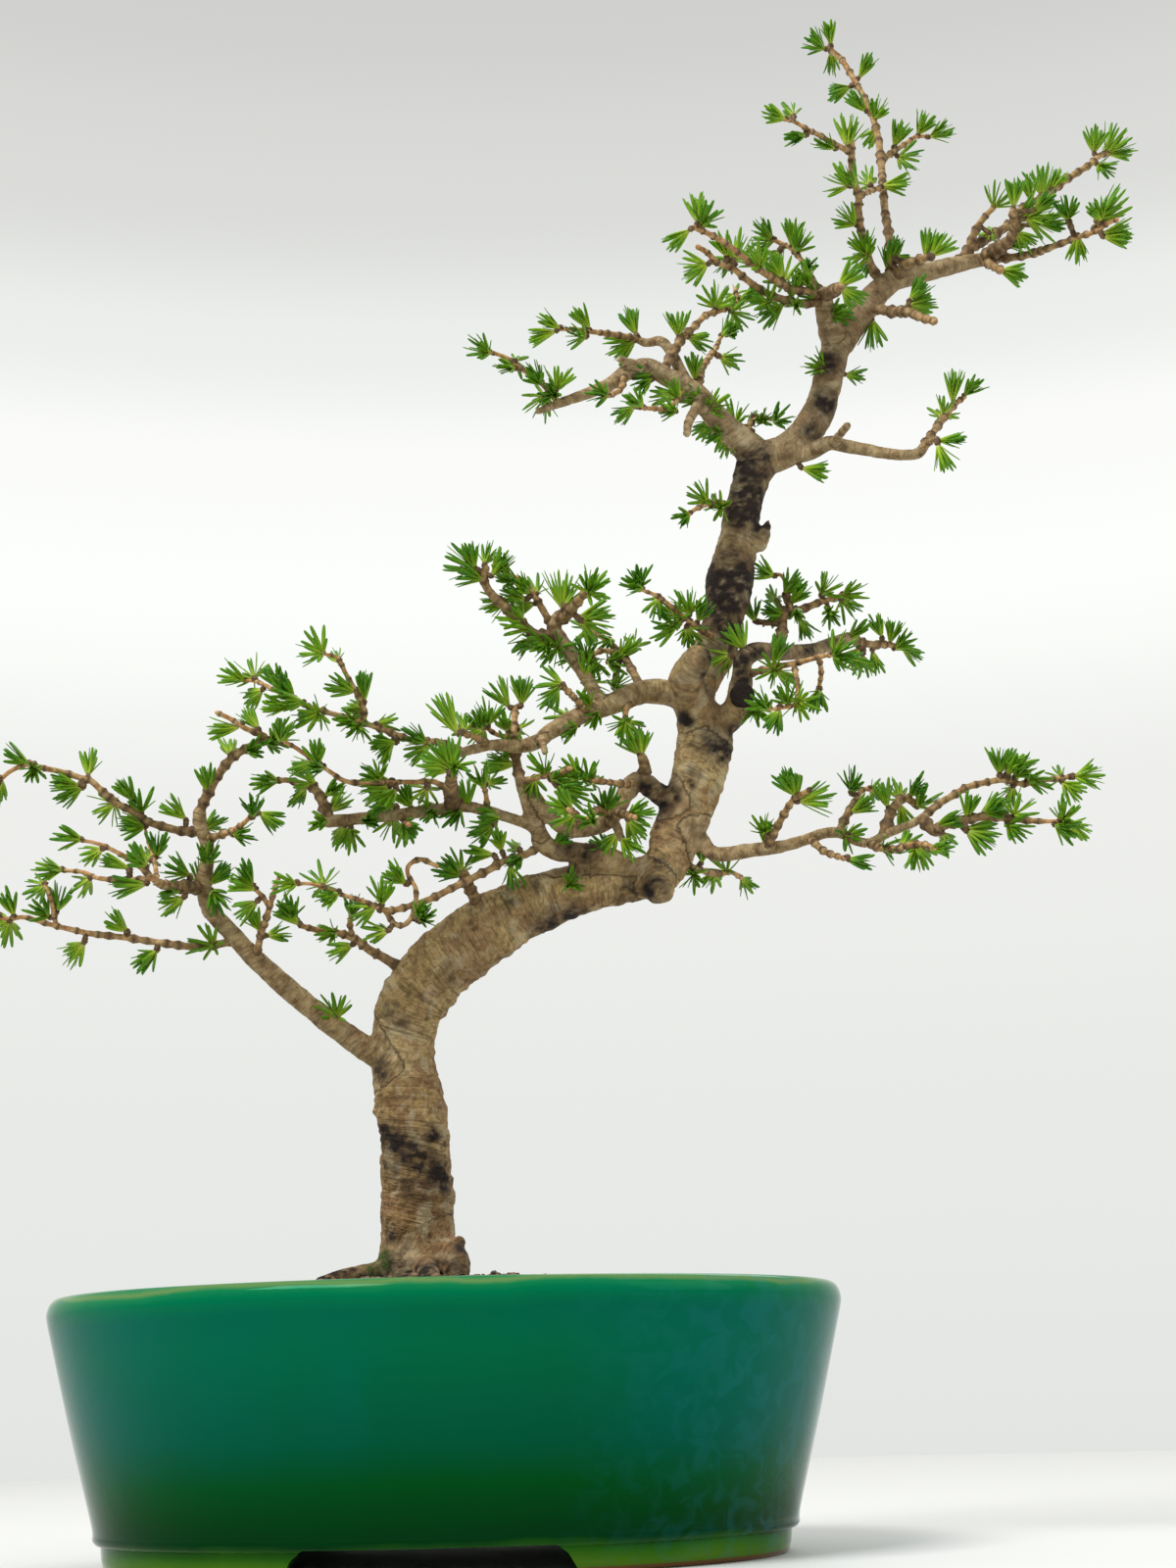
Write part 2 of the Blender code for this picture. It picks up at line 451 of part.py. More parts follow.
class Room:
    """What is already placed, so that nodes keep clear of each other."""

    def __init__(self):
        self.rows = {}
        self.needles = {}

    def add(self, node, a, b, radius):
        self.rows.setdefault(node, []).append((*a, *b, radius))

    def add_needle(self, node, a, b, radius):
        self.add(node, a, b, radius)
        self.needles.setdefault(node, []).append((*a, *b, radius * OWN_CLEAR))

    def free(self, rows, a, b, reach):
        block = np.array(rows)
        gap = segment_gap(np.array(a), np.array(b), block[:, 0:3], block[:, 3:6])
        return not (gap < block[:, 6] + reach).any()

    def clear(self, node, a, b, radius):
        """Whether a segment is clear of every other node."""
        return all(self.free(rows, a, b, radius + NODE_CLEAR)
                   for other, rows in self.rows.items() if other != node)

    def uncrossed(self, node, a, b, radius, before):
        """Whether a needle crosses none of its own node's earlier needles."""
        rows = self.needles.get(node, [])[:before]
        return not rows or self.free(rows, a, b, radius * OWN_CLEAR)


def stem_clear(room, stem):
    """Whether a twig passes clear of other nodes, past the stretch where it is rooted."""
    gone = 0.0
    for i in range(len(stem.places) - 1):
        a, b = stem.places[i], stem.places[i + 1]
        gone += (b - a).length
        if i > 0 and gone > 9 and not room.clear(stem.node, a, b, stem.radii[i] + 0.4):
            return False
    return True


def lay_out():
    """All stems by name. A twig that would pass through another spray bends clear."""
    trunk_route = [row[:2] for row in TRUNK]
    stems = {"trunk": Stem("trunk", "trunk", trunk_route, [row[3] for row in TRUNK],
                           [row[2] for row in TRUNK], [])}
    room = Room()
    for name, (parent, tip_near, wide, thin, route, tufts) in {**LIMBS, **TWIGS}.items():
        route = read_route(route)
        root_near = stems[parent].at(route[0])[0]
        root_place = stems[parent].at(route[0])[1]
        grows_on = stems[parent].node
        node = grows_on if name in LIMBS or name in FUSED or grows_on != "trunk" else name
        for shift in (0, 5, -5, 10, -10, 16, -16, 22, -22):
            nears = grade(route, root_near, tip_near * DEPTH_SPREAD + (shift if node != "trunk" else 0))
            stem = Stem(name, node, route, nears, grade(route, wide, thin), tufts)
            stem.places[0] = root_place
            if node == "trunk" or stem_clear(room, stem):
                break
        stems[name] = stem
        for i in range(len(stem.places) - 1):
            room.add(node, stem.places[i], stem.places[i + 1], max(stem.radii[i:i + 2]))
    first = stems["trunk"]
    for i in range(len(first.places) - 1):
        room.add("trunk", first.places[i], first.places[i + 1], max(first.radii[i:i + 2]))
    return stems, room


def tufts_of(stem):
    """Each tuft of a stem: where it sits, which way it points and how long it is."""
    found = []
    for number, text in enumerate(stem.tufts.split() if stem.tufts else []):
        base, tip = (tuple(float(v) for v in part.split(",")) for part in text.split(">"))
        near, on_stem, _ = stem.at(base)
        foot = on_tree(*base, near)
        flat = on_tree(*tip, near) - foot
        length = max(NEEDLE, flat.length)
        lean = math.acos(min(1.0, max(0.26, flat.length / length)))
        side = -1 if number % 3 == 1 else 1
        aim = flat.normalized() * math.cos(lean) + Vector((0, -side, 0)) * math.sin(lean)
        found.append((foot, aim.normalized(), length, on_stem))
    return found


def frame_along(aim):
    """Two directions square to a third."""
    side = aim.cross(Vector((0, 0, 1)) if abs(aim.z) < 0.8 else Vector((1, 0, 0))).normalized()
    return side, aim.cross(side)


def clear_scene():
    for obj in list(bpy.data.objects):
        bpy.data.objects.remove(obj, do_unlink=True)


def material(name, colour, roughness):
    found = bpy.data.materials.get(name)
    if found is None:
        found = bpy.data.materials.new(name)
        found.use_nodes = True
        surface = found.node_tree.nodes["Principled BSDF"]
        surface.inputs["Base Color"].default_value = (*colour, 1)
        surface.inputs["Roughness"].default_value = roughness
    return found


def add_object(name, bm, finish=None):
    """A bmesh in mm becomes an object in metres."""
    bmesh.ops.recalc_face_normals(bm, faces=bm.faces)
    bmesh.ops.scale(bm, vec=(MM, MM, MM), verts=bm.verts)
    mesh = bpy.data.meshes.new(name)
    bm.to_mesh(mesh)
    bm.free()
    obj = bpy.data.objects.new(name, mesh)
    bpy.context.scene.collection.objects.link(obj)
    if finish:
        mesh.materials.append(finish)
    return obj


def boolean(obj, tools, operation, solver="MANIFOLD"):
    """Joins or cuts an object with others, applies the result and removes them."""
    group = bpy.data.collections.new("tools")
    bpy.context.scene.collection.children.link(group)
    for tool in tools:
        group.objects.link(tool)
    step = obj.modifiers.new(operation.lower(), "BOOLEAN")
    step.operation = operation
    step.operand_type = "COLLECTION"
    step.collection = group
    step.solver = solver
    bpy.context.view_layer.update()
    graph = bpy.context.evaluated_depsgraph_get()
    joined = bpy.data.meshes.new_from_object(obj.evaluated_get(graph))
    obj.modifiers.clear()
    obj.data = joined
    for tool in tools:
        bpy.data.objects.remove(tool, do_unlink=True)
    bpy.data.collections.remove(group)


def oval_ring(bm, half_length, half_depth, z, count, centre=(0, 0)):
    ring = []
    for i in range(count):
        turn = 2 * math.pi * i / count
        c, s = math.cos(turn), math.sin(turn)
        x = half_length * math.copysign(abs(c) ** (2 / OVAL_POWER), c)
        y = half_depth * math.copysign(abs(s) ** (2 / OVAL_POWER), s)
        ring.append(bm.verts.new((centre[0] + x, centre[1] + y, z)))
    return ring


def bridge(bm, lower, upper):
    count = len(lower)
    for i in range(count):
        j = (i + 1) % count
        bm.faces.new((lower[i], lower[j], upper[j], upper[i]))


def tube(name, places, radii, sides, rough=0.0, grow=0.0):
    """A tapered stem through its places, its ends closed."""
    bm = bmesh.new()
    rings = []
    side = None
    for i, place in enumerate(places):
        ahead = places[min(i + 1, len(places) - 1)] - places[max(i - 1, 0)]
        aim = ahead.normalized()
        side = frame_along(aim)[0] if side is None else (side - aim * side.dot(aim)).normalized()
        across = aim.cross(side)
        ring = []
        for k in range(sides):
            turn = 2 * math.pi * k / sides
            out = side * math.cos(turn) + across * math.sin(turn)
            bump = 1 + rough * noise.noise((place + out * radii[i]) * 0.06)
            ring.append(bm.verts.new(place + out * (radii[i] * bump + grow)))
        rings.append(ring)
    for lower, upper in zip(rings, rings[1:]):
        bridge(bm, lower, upper)
    bm.faces.new(rings[0])
    bm.faces.new(rings[-1])
    return add_object(name, bm)


def plain_route(places, radii):
    """Drops the points that bend a stem by less than STRAIGHT_ENOUGH."""
    keep = [0]
    for i in range(1, len(places) - 1):
        run = places[i + 1] - places[keep[-1]]
        off = (places[i] - places[keep[-1]]).cross(run).length / max(run.length, 1e-6)
        if off > STRAIGHT_ENOUGH:
            keep.append(i)
    keep.append(len(places) - 1)
    return [places[i] for i in keep], [radii[i] for i in keep]


def stem_object(stem, grow=0.0):
    if stem.name == "trunk":
        down = Vector((0, 0, -ROOT_DEPTH))
        places = [stem.places[0] + down, *stem.places]
        radii = [stem.radii[0] * 0.6, *stem.radii]
        return tube("trunk_wood", places, radii, TRUNK_SIDES, 0.25, grow)
    places, radii = plain_route(stem.places, stem.radii)
    radii = [max(r, 0.75) for r in radii]
    sides = LIMB_SIDES if stem.name in LIMBS else TWIG_SIDES
    if grow:
        end = (places[-1] - places[-2]).normalized() * grow
        places = [*places[:-1], places[-1] + end]
    return tube(stem.name + "_wood", places, radii, sides, 0.0, grow)


def tuft_object(node, room, foot, aim, length, on_stem, draw):
    """A bud with eight sides, seven of them drawn out into needles where there is room."""
    side, across = frame_along(aim)
    turned = draw.uniform(0, math.tau)
    corners = []
    for lift, start in ((1, 0.0), (-1, math.pi / 3)):
        for k in range(3):
            turn = turned + start + k * math.tau / 3
            ring = (side * math.cos(turn) + across * math.sin(turn)) * math.sqrt(2 / 3)
            corners.append(foot + (aim * (lift / math.sqrt(3)) + ring) * BUD)
    heel = on_stem - foot
    for k in range(3, 6):
        corners[k] = corners[k] + heel - heel.normalized() * min(heel.length, BUD)
    bm = bmesh.new()
    verts = [bm.verts.new(c) for c in corners]
    bm.faces.new((verts[0], verts[1], verts[2]))
    bm.faces.new((verts[5], verts[4], verts[3]))
    for k in range(3):
        bm.faces.new((verts[k], verts[3 + k], verts[(k + 1) % 3]))
        bm.faces.new((verts[3 + k], verts[3 + (k + 1) % 3], verts[(k + 1) % 3]))
    needles = 0
    before = len(room.needles.get(node, []))
    for number, face in enumerate(list(bm.faces)):
        if number == 1:
            continue
        turn = turned + math.pi / 3 + (number - 2) * math.pi / 3
        spread = 0 if number == 0 else (0.62 if number % 2 == 0 else 1.02)
        reach = aim * math.cos(spread)
        reach += (side * math.cos(turn) + across * math.sin(turn)) * math.sin(spread)
        for part in (1.0, 0.8, 0.62):
            tip = foot + reach * (length * part * (1 - 0.12 * draw.random()))
            start = foot + reach * 2.2
            if (room.uncrossed(node, start, tip, NEEDLE_CLEAR, before)
                    and room.clear(node, start, tip, NEEDLE_CLEAR)):
                room.add_needle(node, start, tip, NEEDLE_CLEAR)
                point = bm.verts.new(tip)
                rim = list(face.verts)
                bm.faces.remove(face)
                for i in range(3):
                    bm.faces.new((rim[i], rim[(i + 1) % 3], point))
                needles += 1
                break
    if needles < LEAST_NEEDLES:
        bm.free()
        return None
    return add_object("tuft", bm)


def keep_largest(obj, keep=1.0):
    """Drops the loose scraps that a cut leaves behind."""
    bm = bmesh.new()
    bm.from_mesh(obj.data)
    left = set(bm.verts)
    islands = []
    while left:
        stack = [left.pop()]
        island = set(stack)
        while stack:
            for edge in stack.pop().link_edges:
                for vert in edge.verts:
                    if vert in left:
                        left.discard(vert)
                        island.add(vert)
                        stack.append(vert)
        islands.append(island)
    islands.sort(key=len)
    for island in islands[:-1]:
        bmesh.ops.delete(bm, geom=list(island), context="VERTS")
    bmesh.ops.triangulate(bm, faces=bm.faces)
    bm.to_mesh(obj.data)
    bm.free()
    whole = obj.data
    for share in (keep, keep + 0.07, keep - 0.07, keep + 0.15, keep + 0.24, 1.0):
        trim = obj.modifiers.new("trim", "DECIMATE")
        trim.ratio = min(share, 1.0)
        bpy.context.view_layer.update()
        graph = bpy.context.evaluated_depsgraph_get()
        trimmed = bpy.data.meshes.new_from_object(obj.evaluated_get(graph))
        obj.modifiers.clear()
        if closed(trimmed):
            obj.data = trimmed
            return
    obj.data = whole


def closed(mesh):
    """Whether every edge joins exactly two faces and none is too short to be kept."""
    bm = bmesh.new()
    bm.from_mesh(mesh)
    bmesh.ops.remove_doubles(bm, verts=bm.verts, dist=SLIVER / 4)
    good = all(len(edge.link_faces) == 2 for edge in bm.edges)
    good = good and min(edge.calc_length() for edge in bm.edges) > SHORTEST_EDGE
    bm.free()
    return good


def socket(stems):
    """The trunk and limbs, grown by the gap that a stem standing in or on them keeps."""
    wood = [s for s in stems.values() if s.node == "trunk"]
    pieces = [stem_object(s, STEM_GAP) for s in wood]
    boolean(pieces[0], pieces[1:], "UNION")
    return pieces[0]


def grow_node(node, members, room, cutter, attempt):
    """One node's stems and tufts as one closed body. A later attempt has fewer tufts."""
    draw = random.Random(f"{SEED} {node} {attempt}")
    pieces = [stem_object(s) for s in members]
    seats = []
    for stem in members:
        for number, (foot, aim, length, on_stem) in enumerate(tufts_of(stem)):
            crowded = any((foot - other).length < TUFT_SPACING for other in seats)
            if crowded or (attempt and number % (8 - attempt) == 3):
                continue
            seats.append(foot)
            tuft = tuft_object(node, room, foot, aim, length, on_stem, draw)
            if tuft:
                pieces.append(tuft)
    boolean(pieces[0], pieces[1:], "UNION")
    grown = pieces[0]
    if node != "trunk":
        copy = cutter.copy()
        bpy.context.scene.collection.objects.link(copy)
        boolean(grown, [copy], "DIFFERENCE")
    keep_largest(grown, SPRAY_KEEP if node != "trunk" else TRUNK_KEEP)
    return grown


def build_plant(stems, room):
    """The trunk node and the sprays. Returns the grown copy of the trunk for the soil."""
    bark = material("bark", (0.27, 0.19, 0.10), 0.85)
    green = material("needles", (0.12, 0.30, 0.05), 0.6)
    nodes = {}
    for stem in stems.values():
        nodes.setdefault(stem.node, []).append(stem)
        for foot, aim, length, on_stem in tufts_of(stem):
            room.add(stem.node, foot, foot + aim * 0.1, BUD_CLEAR)
    cutter = socket(stems)
    for node, members in nodes.items():
        rows, needles = len(room.rows[node]), len(room.needles.get(node, []))
        for attempt in range(6):
            grown = grow_node(node, members, room, cutter, attempt)
            if closed(grown.data):
                break
            bpy.data.objects.remove(grown, do_unlink=True)
            del room.rows[node][rows:]
            del room.needles.get(node, [])[needles:]
        grown.name = node if node == "trunk" else "spray_" + node
        grown.data.materials.clear()
        grown.data.materials.append(bark if node == "trunk" else green)
    return cutter


def face_tree(obj):
    bm = bmesh.new()
    bm.from_mesh(obj.data)
    tree = BVHTree.FromBMesh(bm)
    bm.free()
    return tree


def part_crossings():
    """Cuts the later of two solids back by the earlier where they still meet."""
    nodes = [obj for obj in bpy.data.objects if obj.name.startswith("spray_")]
    nodes.sort(key=lambda obj: obj.name)
    nodes = [bpy.data.objects["trunk"], *nodes, bpy.data.objects["soil"]]
    for i, first in enumerate(nodes):
        for later in nodes[i + 1:]:
            if face_tree(first).overlap(face_tree(later)):
                copy = first.copy()
                bpy.context.scene.collection.objects.link(copy)
                boolean(later, [copy], "DIFFERENCE")
                keep_largest(later)


def build_pot():
    half_x = POT_LENGTH / 2
    half_y = POT_DEPTH / 2
    profile = (
        (114, 86, 0), (126, 98, 0), (127.5, 99.5, 8.2), (130, 102, 9.8), (130.8, 102.8, 14.5),
        (140.2, 110.4, 50), (148.8, 117, 84), (half_x, half_y, 89), (149.6, 117.6, 93.4),
        (146.2, 114.4, POT_HEIGHT), (142.4, 110.6, 94.2), (half_x - WALL - 0.8, half_y - WALL - 0.8, 89),
        (125.6, 95.2, 22), (121, 90.6, FLOOR_TOP),
    )
    bm = bmesh.new()
    rings = [oval_ring(bm, a, b, z, POT_SIDES) for a, b, z in profile]
    for lower, upper in zip(rings, rings[1:]):
        bridge(bm, lower, upper)
    bm.faces.new(rings[-1])
    under = oval_ring(bm, 113, 85, FLOOR_UNDERSIDE, POT_SIDES)
    bridge(bm, rings[0], under)
    bm.faces.new(under)
    pot = add_object("pot", bm, material("glaze", (0.0, 0.14, 0.08), 0.15))
    tools = [foot_gap()]
    for x in (-DRAIN_X, DRAIN_X):
        tools.append(tube("drain", [Vector((x, 0, 5)), Vector((x, 0, 22))], [DRAIN_RADIUS] * 2, 16))
    boolean(pot, tools, "DIFFERENCE")
    pot.data.shade_smooth()
    pot.data.set_sharp_from_angle(angle=math.radians(40))
    return pot


def foot_gap():
    """The wedge that opens the foot ring at the front and the back."""
    bm = bmesh.new()
    top = FLOOR_UNDERSIDE - GAP
    ends = []
    for y in (-POT_DEPTH, POT_DEPTH):
        half_low, half_top = FOOT_GAP_BOTTOM / 2, FOOT_GAP_TOP / 2
        outline = ((-half_low - 1, -2), (half_low + 1, -2), (half_top, top), (-half_top, top))
        ends.append([bm.verts.new((x, y, z)) for x, z in outline])
    bridge(bm, ends[0], ends[1])
    bm.faces.new(ends[0])
    bm.faces.new(ends[1])
    return add_object("foot_gap", bm)


def screen_plate(name, x, grow=0.0):
    """A square of coarse mesh, or its grown outline where grow is given."""
    bm = bmesh.new()
    half = SCREEN_SIDE / 2 + grow
    low = FLOOR_TOP + GAP - grow
    high = FLOOR_TOP + GAP + SCREEN_THICK + grow
    cells = 1 if grow else SCREEN_CELLS
    step = 2 * half / cells
    grid = {}
    for i in range(cells + 1):
        for j in range(cells + 1):
            for k, z in enumerate((low, high)):
                grid[i, j, k] = bm.verts.new((x - half + i * step, -half + j * step, z))
    solid = {(i, j) for i in range(cells) for j in range(cells) if not (i % 2 and j % 2)}
    for i, j in solid:
        for k in (0, 1):
            bm.faces.new([grid[i + a, j + b, k] for a, b in ((0, 0), (1, 0), (1, 1), (0, 1))])
        for (di, dj), (p, q) in (((0, -1), ((0, 0), (1, 0))), ((0, 1), ((0, 1), (1, 1))),
                                 ((-1, 0), ((0, 0), (0, 1))), ((1, 0), ((1, 0), (1, 1)))):
            if (i + di, j + dj) not in solid:
                a, b = (i + p[0], j + p[1]), (i + q[0], j + q[1])
                bm.faces.new((grid[(*a, 0)], grid[(*b, 0)], grid[(*b, 1)], grid[(*a, 1)]))
    loose = [v for v in bm.verts if not v.link_faces]
    bmesh.ops.delete(bm, geom=loose, context="VERTS")
    return add_object(name, bm, material("screen", (0.03, 0.03, 0.03), 0.5))


def build_soil(foot, cutter):
    """Soil to the pot's wall, mounded to the trunk, with a plain hole for its roots."""
    wall_low = (125.6 - GAP, 95.2 - GAP, 22)
    wall_top = (POT_LENGTH / 2 - WALL - 1.1, POT_DEPTH / 2 - WALL - 1.1, 89)
    bm = bmesh.new()
    floor = oval_ring(bm, 121 - GAP, 90.6 - GAP, FLOOR_TOP + GAP, POT_SIDES)
    bm.faces.new(floor)
    low = oval_ring(bm, *wall_low, POT_SIDES)
    top = oval_ring(bm, *wall_top, POT_SIDES)
    bridge(bm, floor, low)
    bridge(bm, low, top)
    ring = top
    for step in range(SOIL_RINGS):
        share = 1 - (step + 0.6) / SOIL_RINGS
        centre = (foot.x * (1 - share), foot.y * (1 - share))
        height = SOIL_EDGE + SOIL_MOUND * (1 - share * share)
        inner = oval_ring(bm, wall_top[0] * share, wall_top[1] * share, height, POT_SIDES, centre)
        for vert in inner:
            vert.co.z += 1.6 * noise.noise(vert.co * 0.09)
        bridge(bm, ring, inner)
        ring = inner
    bm.faces.new(ring)
    bmesh.ops.triangulate(bm, faces=bm.faces)
    soil = add_object("soil", bm, material("soil", (0.10, 0.07, 0.04), 0.95))
    pockets = [screen_plate("pocket", x, GAP) for x in (-DRAIN_X, DRAIN_X)]
    boolean(soil, [cutter, *pockets], "DIFFERENCE")
    keep_largest(soil)


def centre_on_ground():
    """Moves everything so that the whole thing's box stands centred on the origin."""
    bpy.context.view_layer.update()
    corners = [obj.matrix_world @ Vector(c) for obj in bpy.data.objects for c in obj.bound_box]
    middle_x = (min(c.x for c in corners) + max(c.x for c in corners)) / 2
    middle_y = (min(c.y for c in corners) + max(c.y for c in corners)) / 2
    lowest = min(c.z for c in corners)
    for obj in bpy.data.objects:
        obj.data.transform(Matrix.Translation((-middle_x, -middle_y, -lowest)))


def main():
    clear_scene()
    stems, room = lay_out()
    build_pot()
    screen_plate("screen_left", -DRAIN_X)
    screen_plate("screen_right", DRAIN_X)
    cutter = build_plant(stems, room)
    build_soil(stems["trunk"].places[0], cutter)
    part_crossings()
    centre_on_ground()


main()
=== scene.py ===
# %% [markdown]
# A larch bonsai, about 0.63 m tall, in an oval glazed pot 300 mm long. The solid model
# already holds every piece at its real size. Here each one gets its fine form and finish:
# the pot its rolled rim and glaze, the soil its grit, the wood its bark, and each leafy
# twig its knobs and its brushes of needles. The tree follows lines read off the
# photograph, the same ones as the solid model, so that each piece lies where its solid is.

# %% Tools and frame
import math
import random

import bmesh
import bpy
import numpy as np
from mathutils import Matrix, Vector, kdtree, noise


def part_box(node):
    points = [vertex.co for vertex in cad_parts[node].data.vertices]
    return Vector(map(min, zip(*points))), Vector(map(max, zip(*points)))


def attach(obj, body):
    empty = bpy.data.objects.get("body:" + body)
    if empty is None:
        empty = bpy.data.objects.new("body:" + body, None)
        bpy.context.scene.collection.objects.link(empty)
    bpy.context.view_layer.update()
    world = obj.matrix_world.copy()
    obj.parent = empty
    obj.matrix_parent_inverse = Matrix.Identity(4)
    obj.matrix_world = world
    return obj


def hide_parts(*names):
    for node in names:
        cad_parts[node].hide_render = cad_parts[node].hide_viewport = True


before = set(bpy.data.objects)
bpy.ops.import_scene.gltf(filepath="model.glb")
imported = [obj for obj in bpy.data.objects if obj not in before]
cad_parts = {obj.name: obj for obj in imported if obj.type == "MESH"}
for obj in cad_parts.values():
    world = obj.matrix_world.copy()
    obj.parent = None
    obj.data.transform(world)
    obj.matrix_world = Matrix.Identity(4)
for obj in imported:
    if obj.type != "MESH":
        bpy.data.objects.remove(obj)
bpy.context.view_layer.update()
MM = 0.001
pot_low, pot_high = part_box("pot")
POT_PLACE = Vector(((pot_low[0] + pot_high[0]) / 2, (pot_low[1] + pot_high[1]) / 2, 0))

# %% [markdown]
# Sizes in mm, pixels of the photograph and the camera's place. They are typed again here
# rather than measured off the solid, because rim, foot and drain holes each need their own.

# %% Driving sizes
POT_DEPTH = 236
OVAL_POWER = 2.14
FLOOR_TOP = 17
FLOOR_UNDERSIDE = 9.8
FOOT_GAP_TOP = 88
FOOT_GAP_BOTTOM = 100
DRAIN_RADIUS = 9
DRAIN_X = 55
SOIL_EDGE = 91
SOIL_MOUND = 11

PHOTO_CENTRE = (600, 800)
LENS = 50
SENSOR = 36
PHOTO_LONG_SIDE = 1600
PHOTO_FOCAL = LENS / SENSOR * PHOTO_LONG_SIDE
CAMERA_PLACE = Vector((59, -856, 54))
CAMERA_PITCH = 0.277
CAMERA_ROLL = -0.026

NEEDLE = 12.5
DEPTH_SPREAD = 1.5
FORWARD_LEAN = 55
SOIL_LINE = 1306
TREE_RISE = 1250
ROOT_DEPTH = 28
NODE_CLEAR = 0.15
TWIG_ROUGHNESS = 0.4
ROOTED_STRETCH = 9
BENDS = (0, 5, -5, 10, -10, 16, -16, 22, -22)
LEAST_FLAT = 0.26
SEED = 7

# %% [markdown]
# The tree is a list of lines. Each stem names what it grows from, how far its tip comes
# forward, its widths in the photograph's pixels, its route, and its tufts of needles as
# base and tip. A plant could also be grown by a rule, but then it would be another tree.

# %% The trunk's middle line and its limbs
# The trunk: x, y and width in pixels, then depth in mm towards the viewer
TRUNK = (
    (425, 1306, 92, 0), (426, 1274, 78, 0), (426, 1240, 75, 0), (425, 1200, 73, 0),
    (424, 1160, 71, 0), (419, 1125, 71, 0), (412, 1090, 66, 0), (412, 1060, 64, 0),
    (418, 1030, 68, 1), (433, 1003, 70, 2), (465, 972, 70, 3), (510, 941, 66, 4),
    (555, 919, 58, 4), (600, 905, 50, 4), (640, 899, 44, 4), (668, 892, 46, 3),
    (682, 878, 47, 2), (690, 852, 51, 0), (705, 815, 53, -1), (716, 778, 54, -2),
    (720, 748, 54, -3), (709, 716, 43, -4), (714, 690, 48, -5), (730, 662, 44, -6),
    (737, 636, 42, -6),
    (743, 600, 44, -6), (749, 570, 43, -5), (755, 540, 37, -5), (761, 510, 36, -4),
    (768, 485, 36, -3), (780, 468, 36, -2),
)

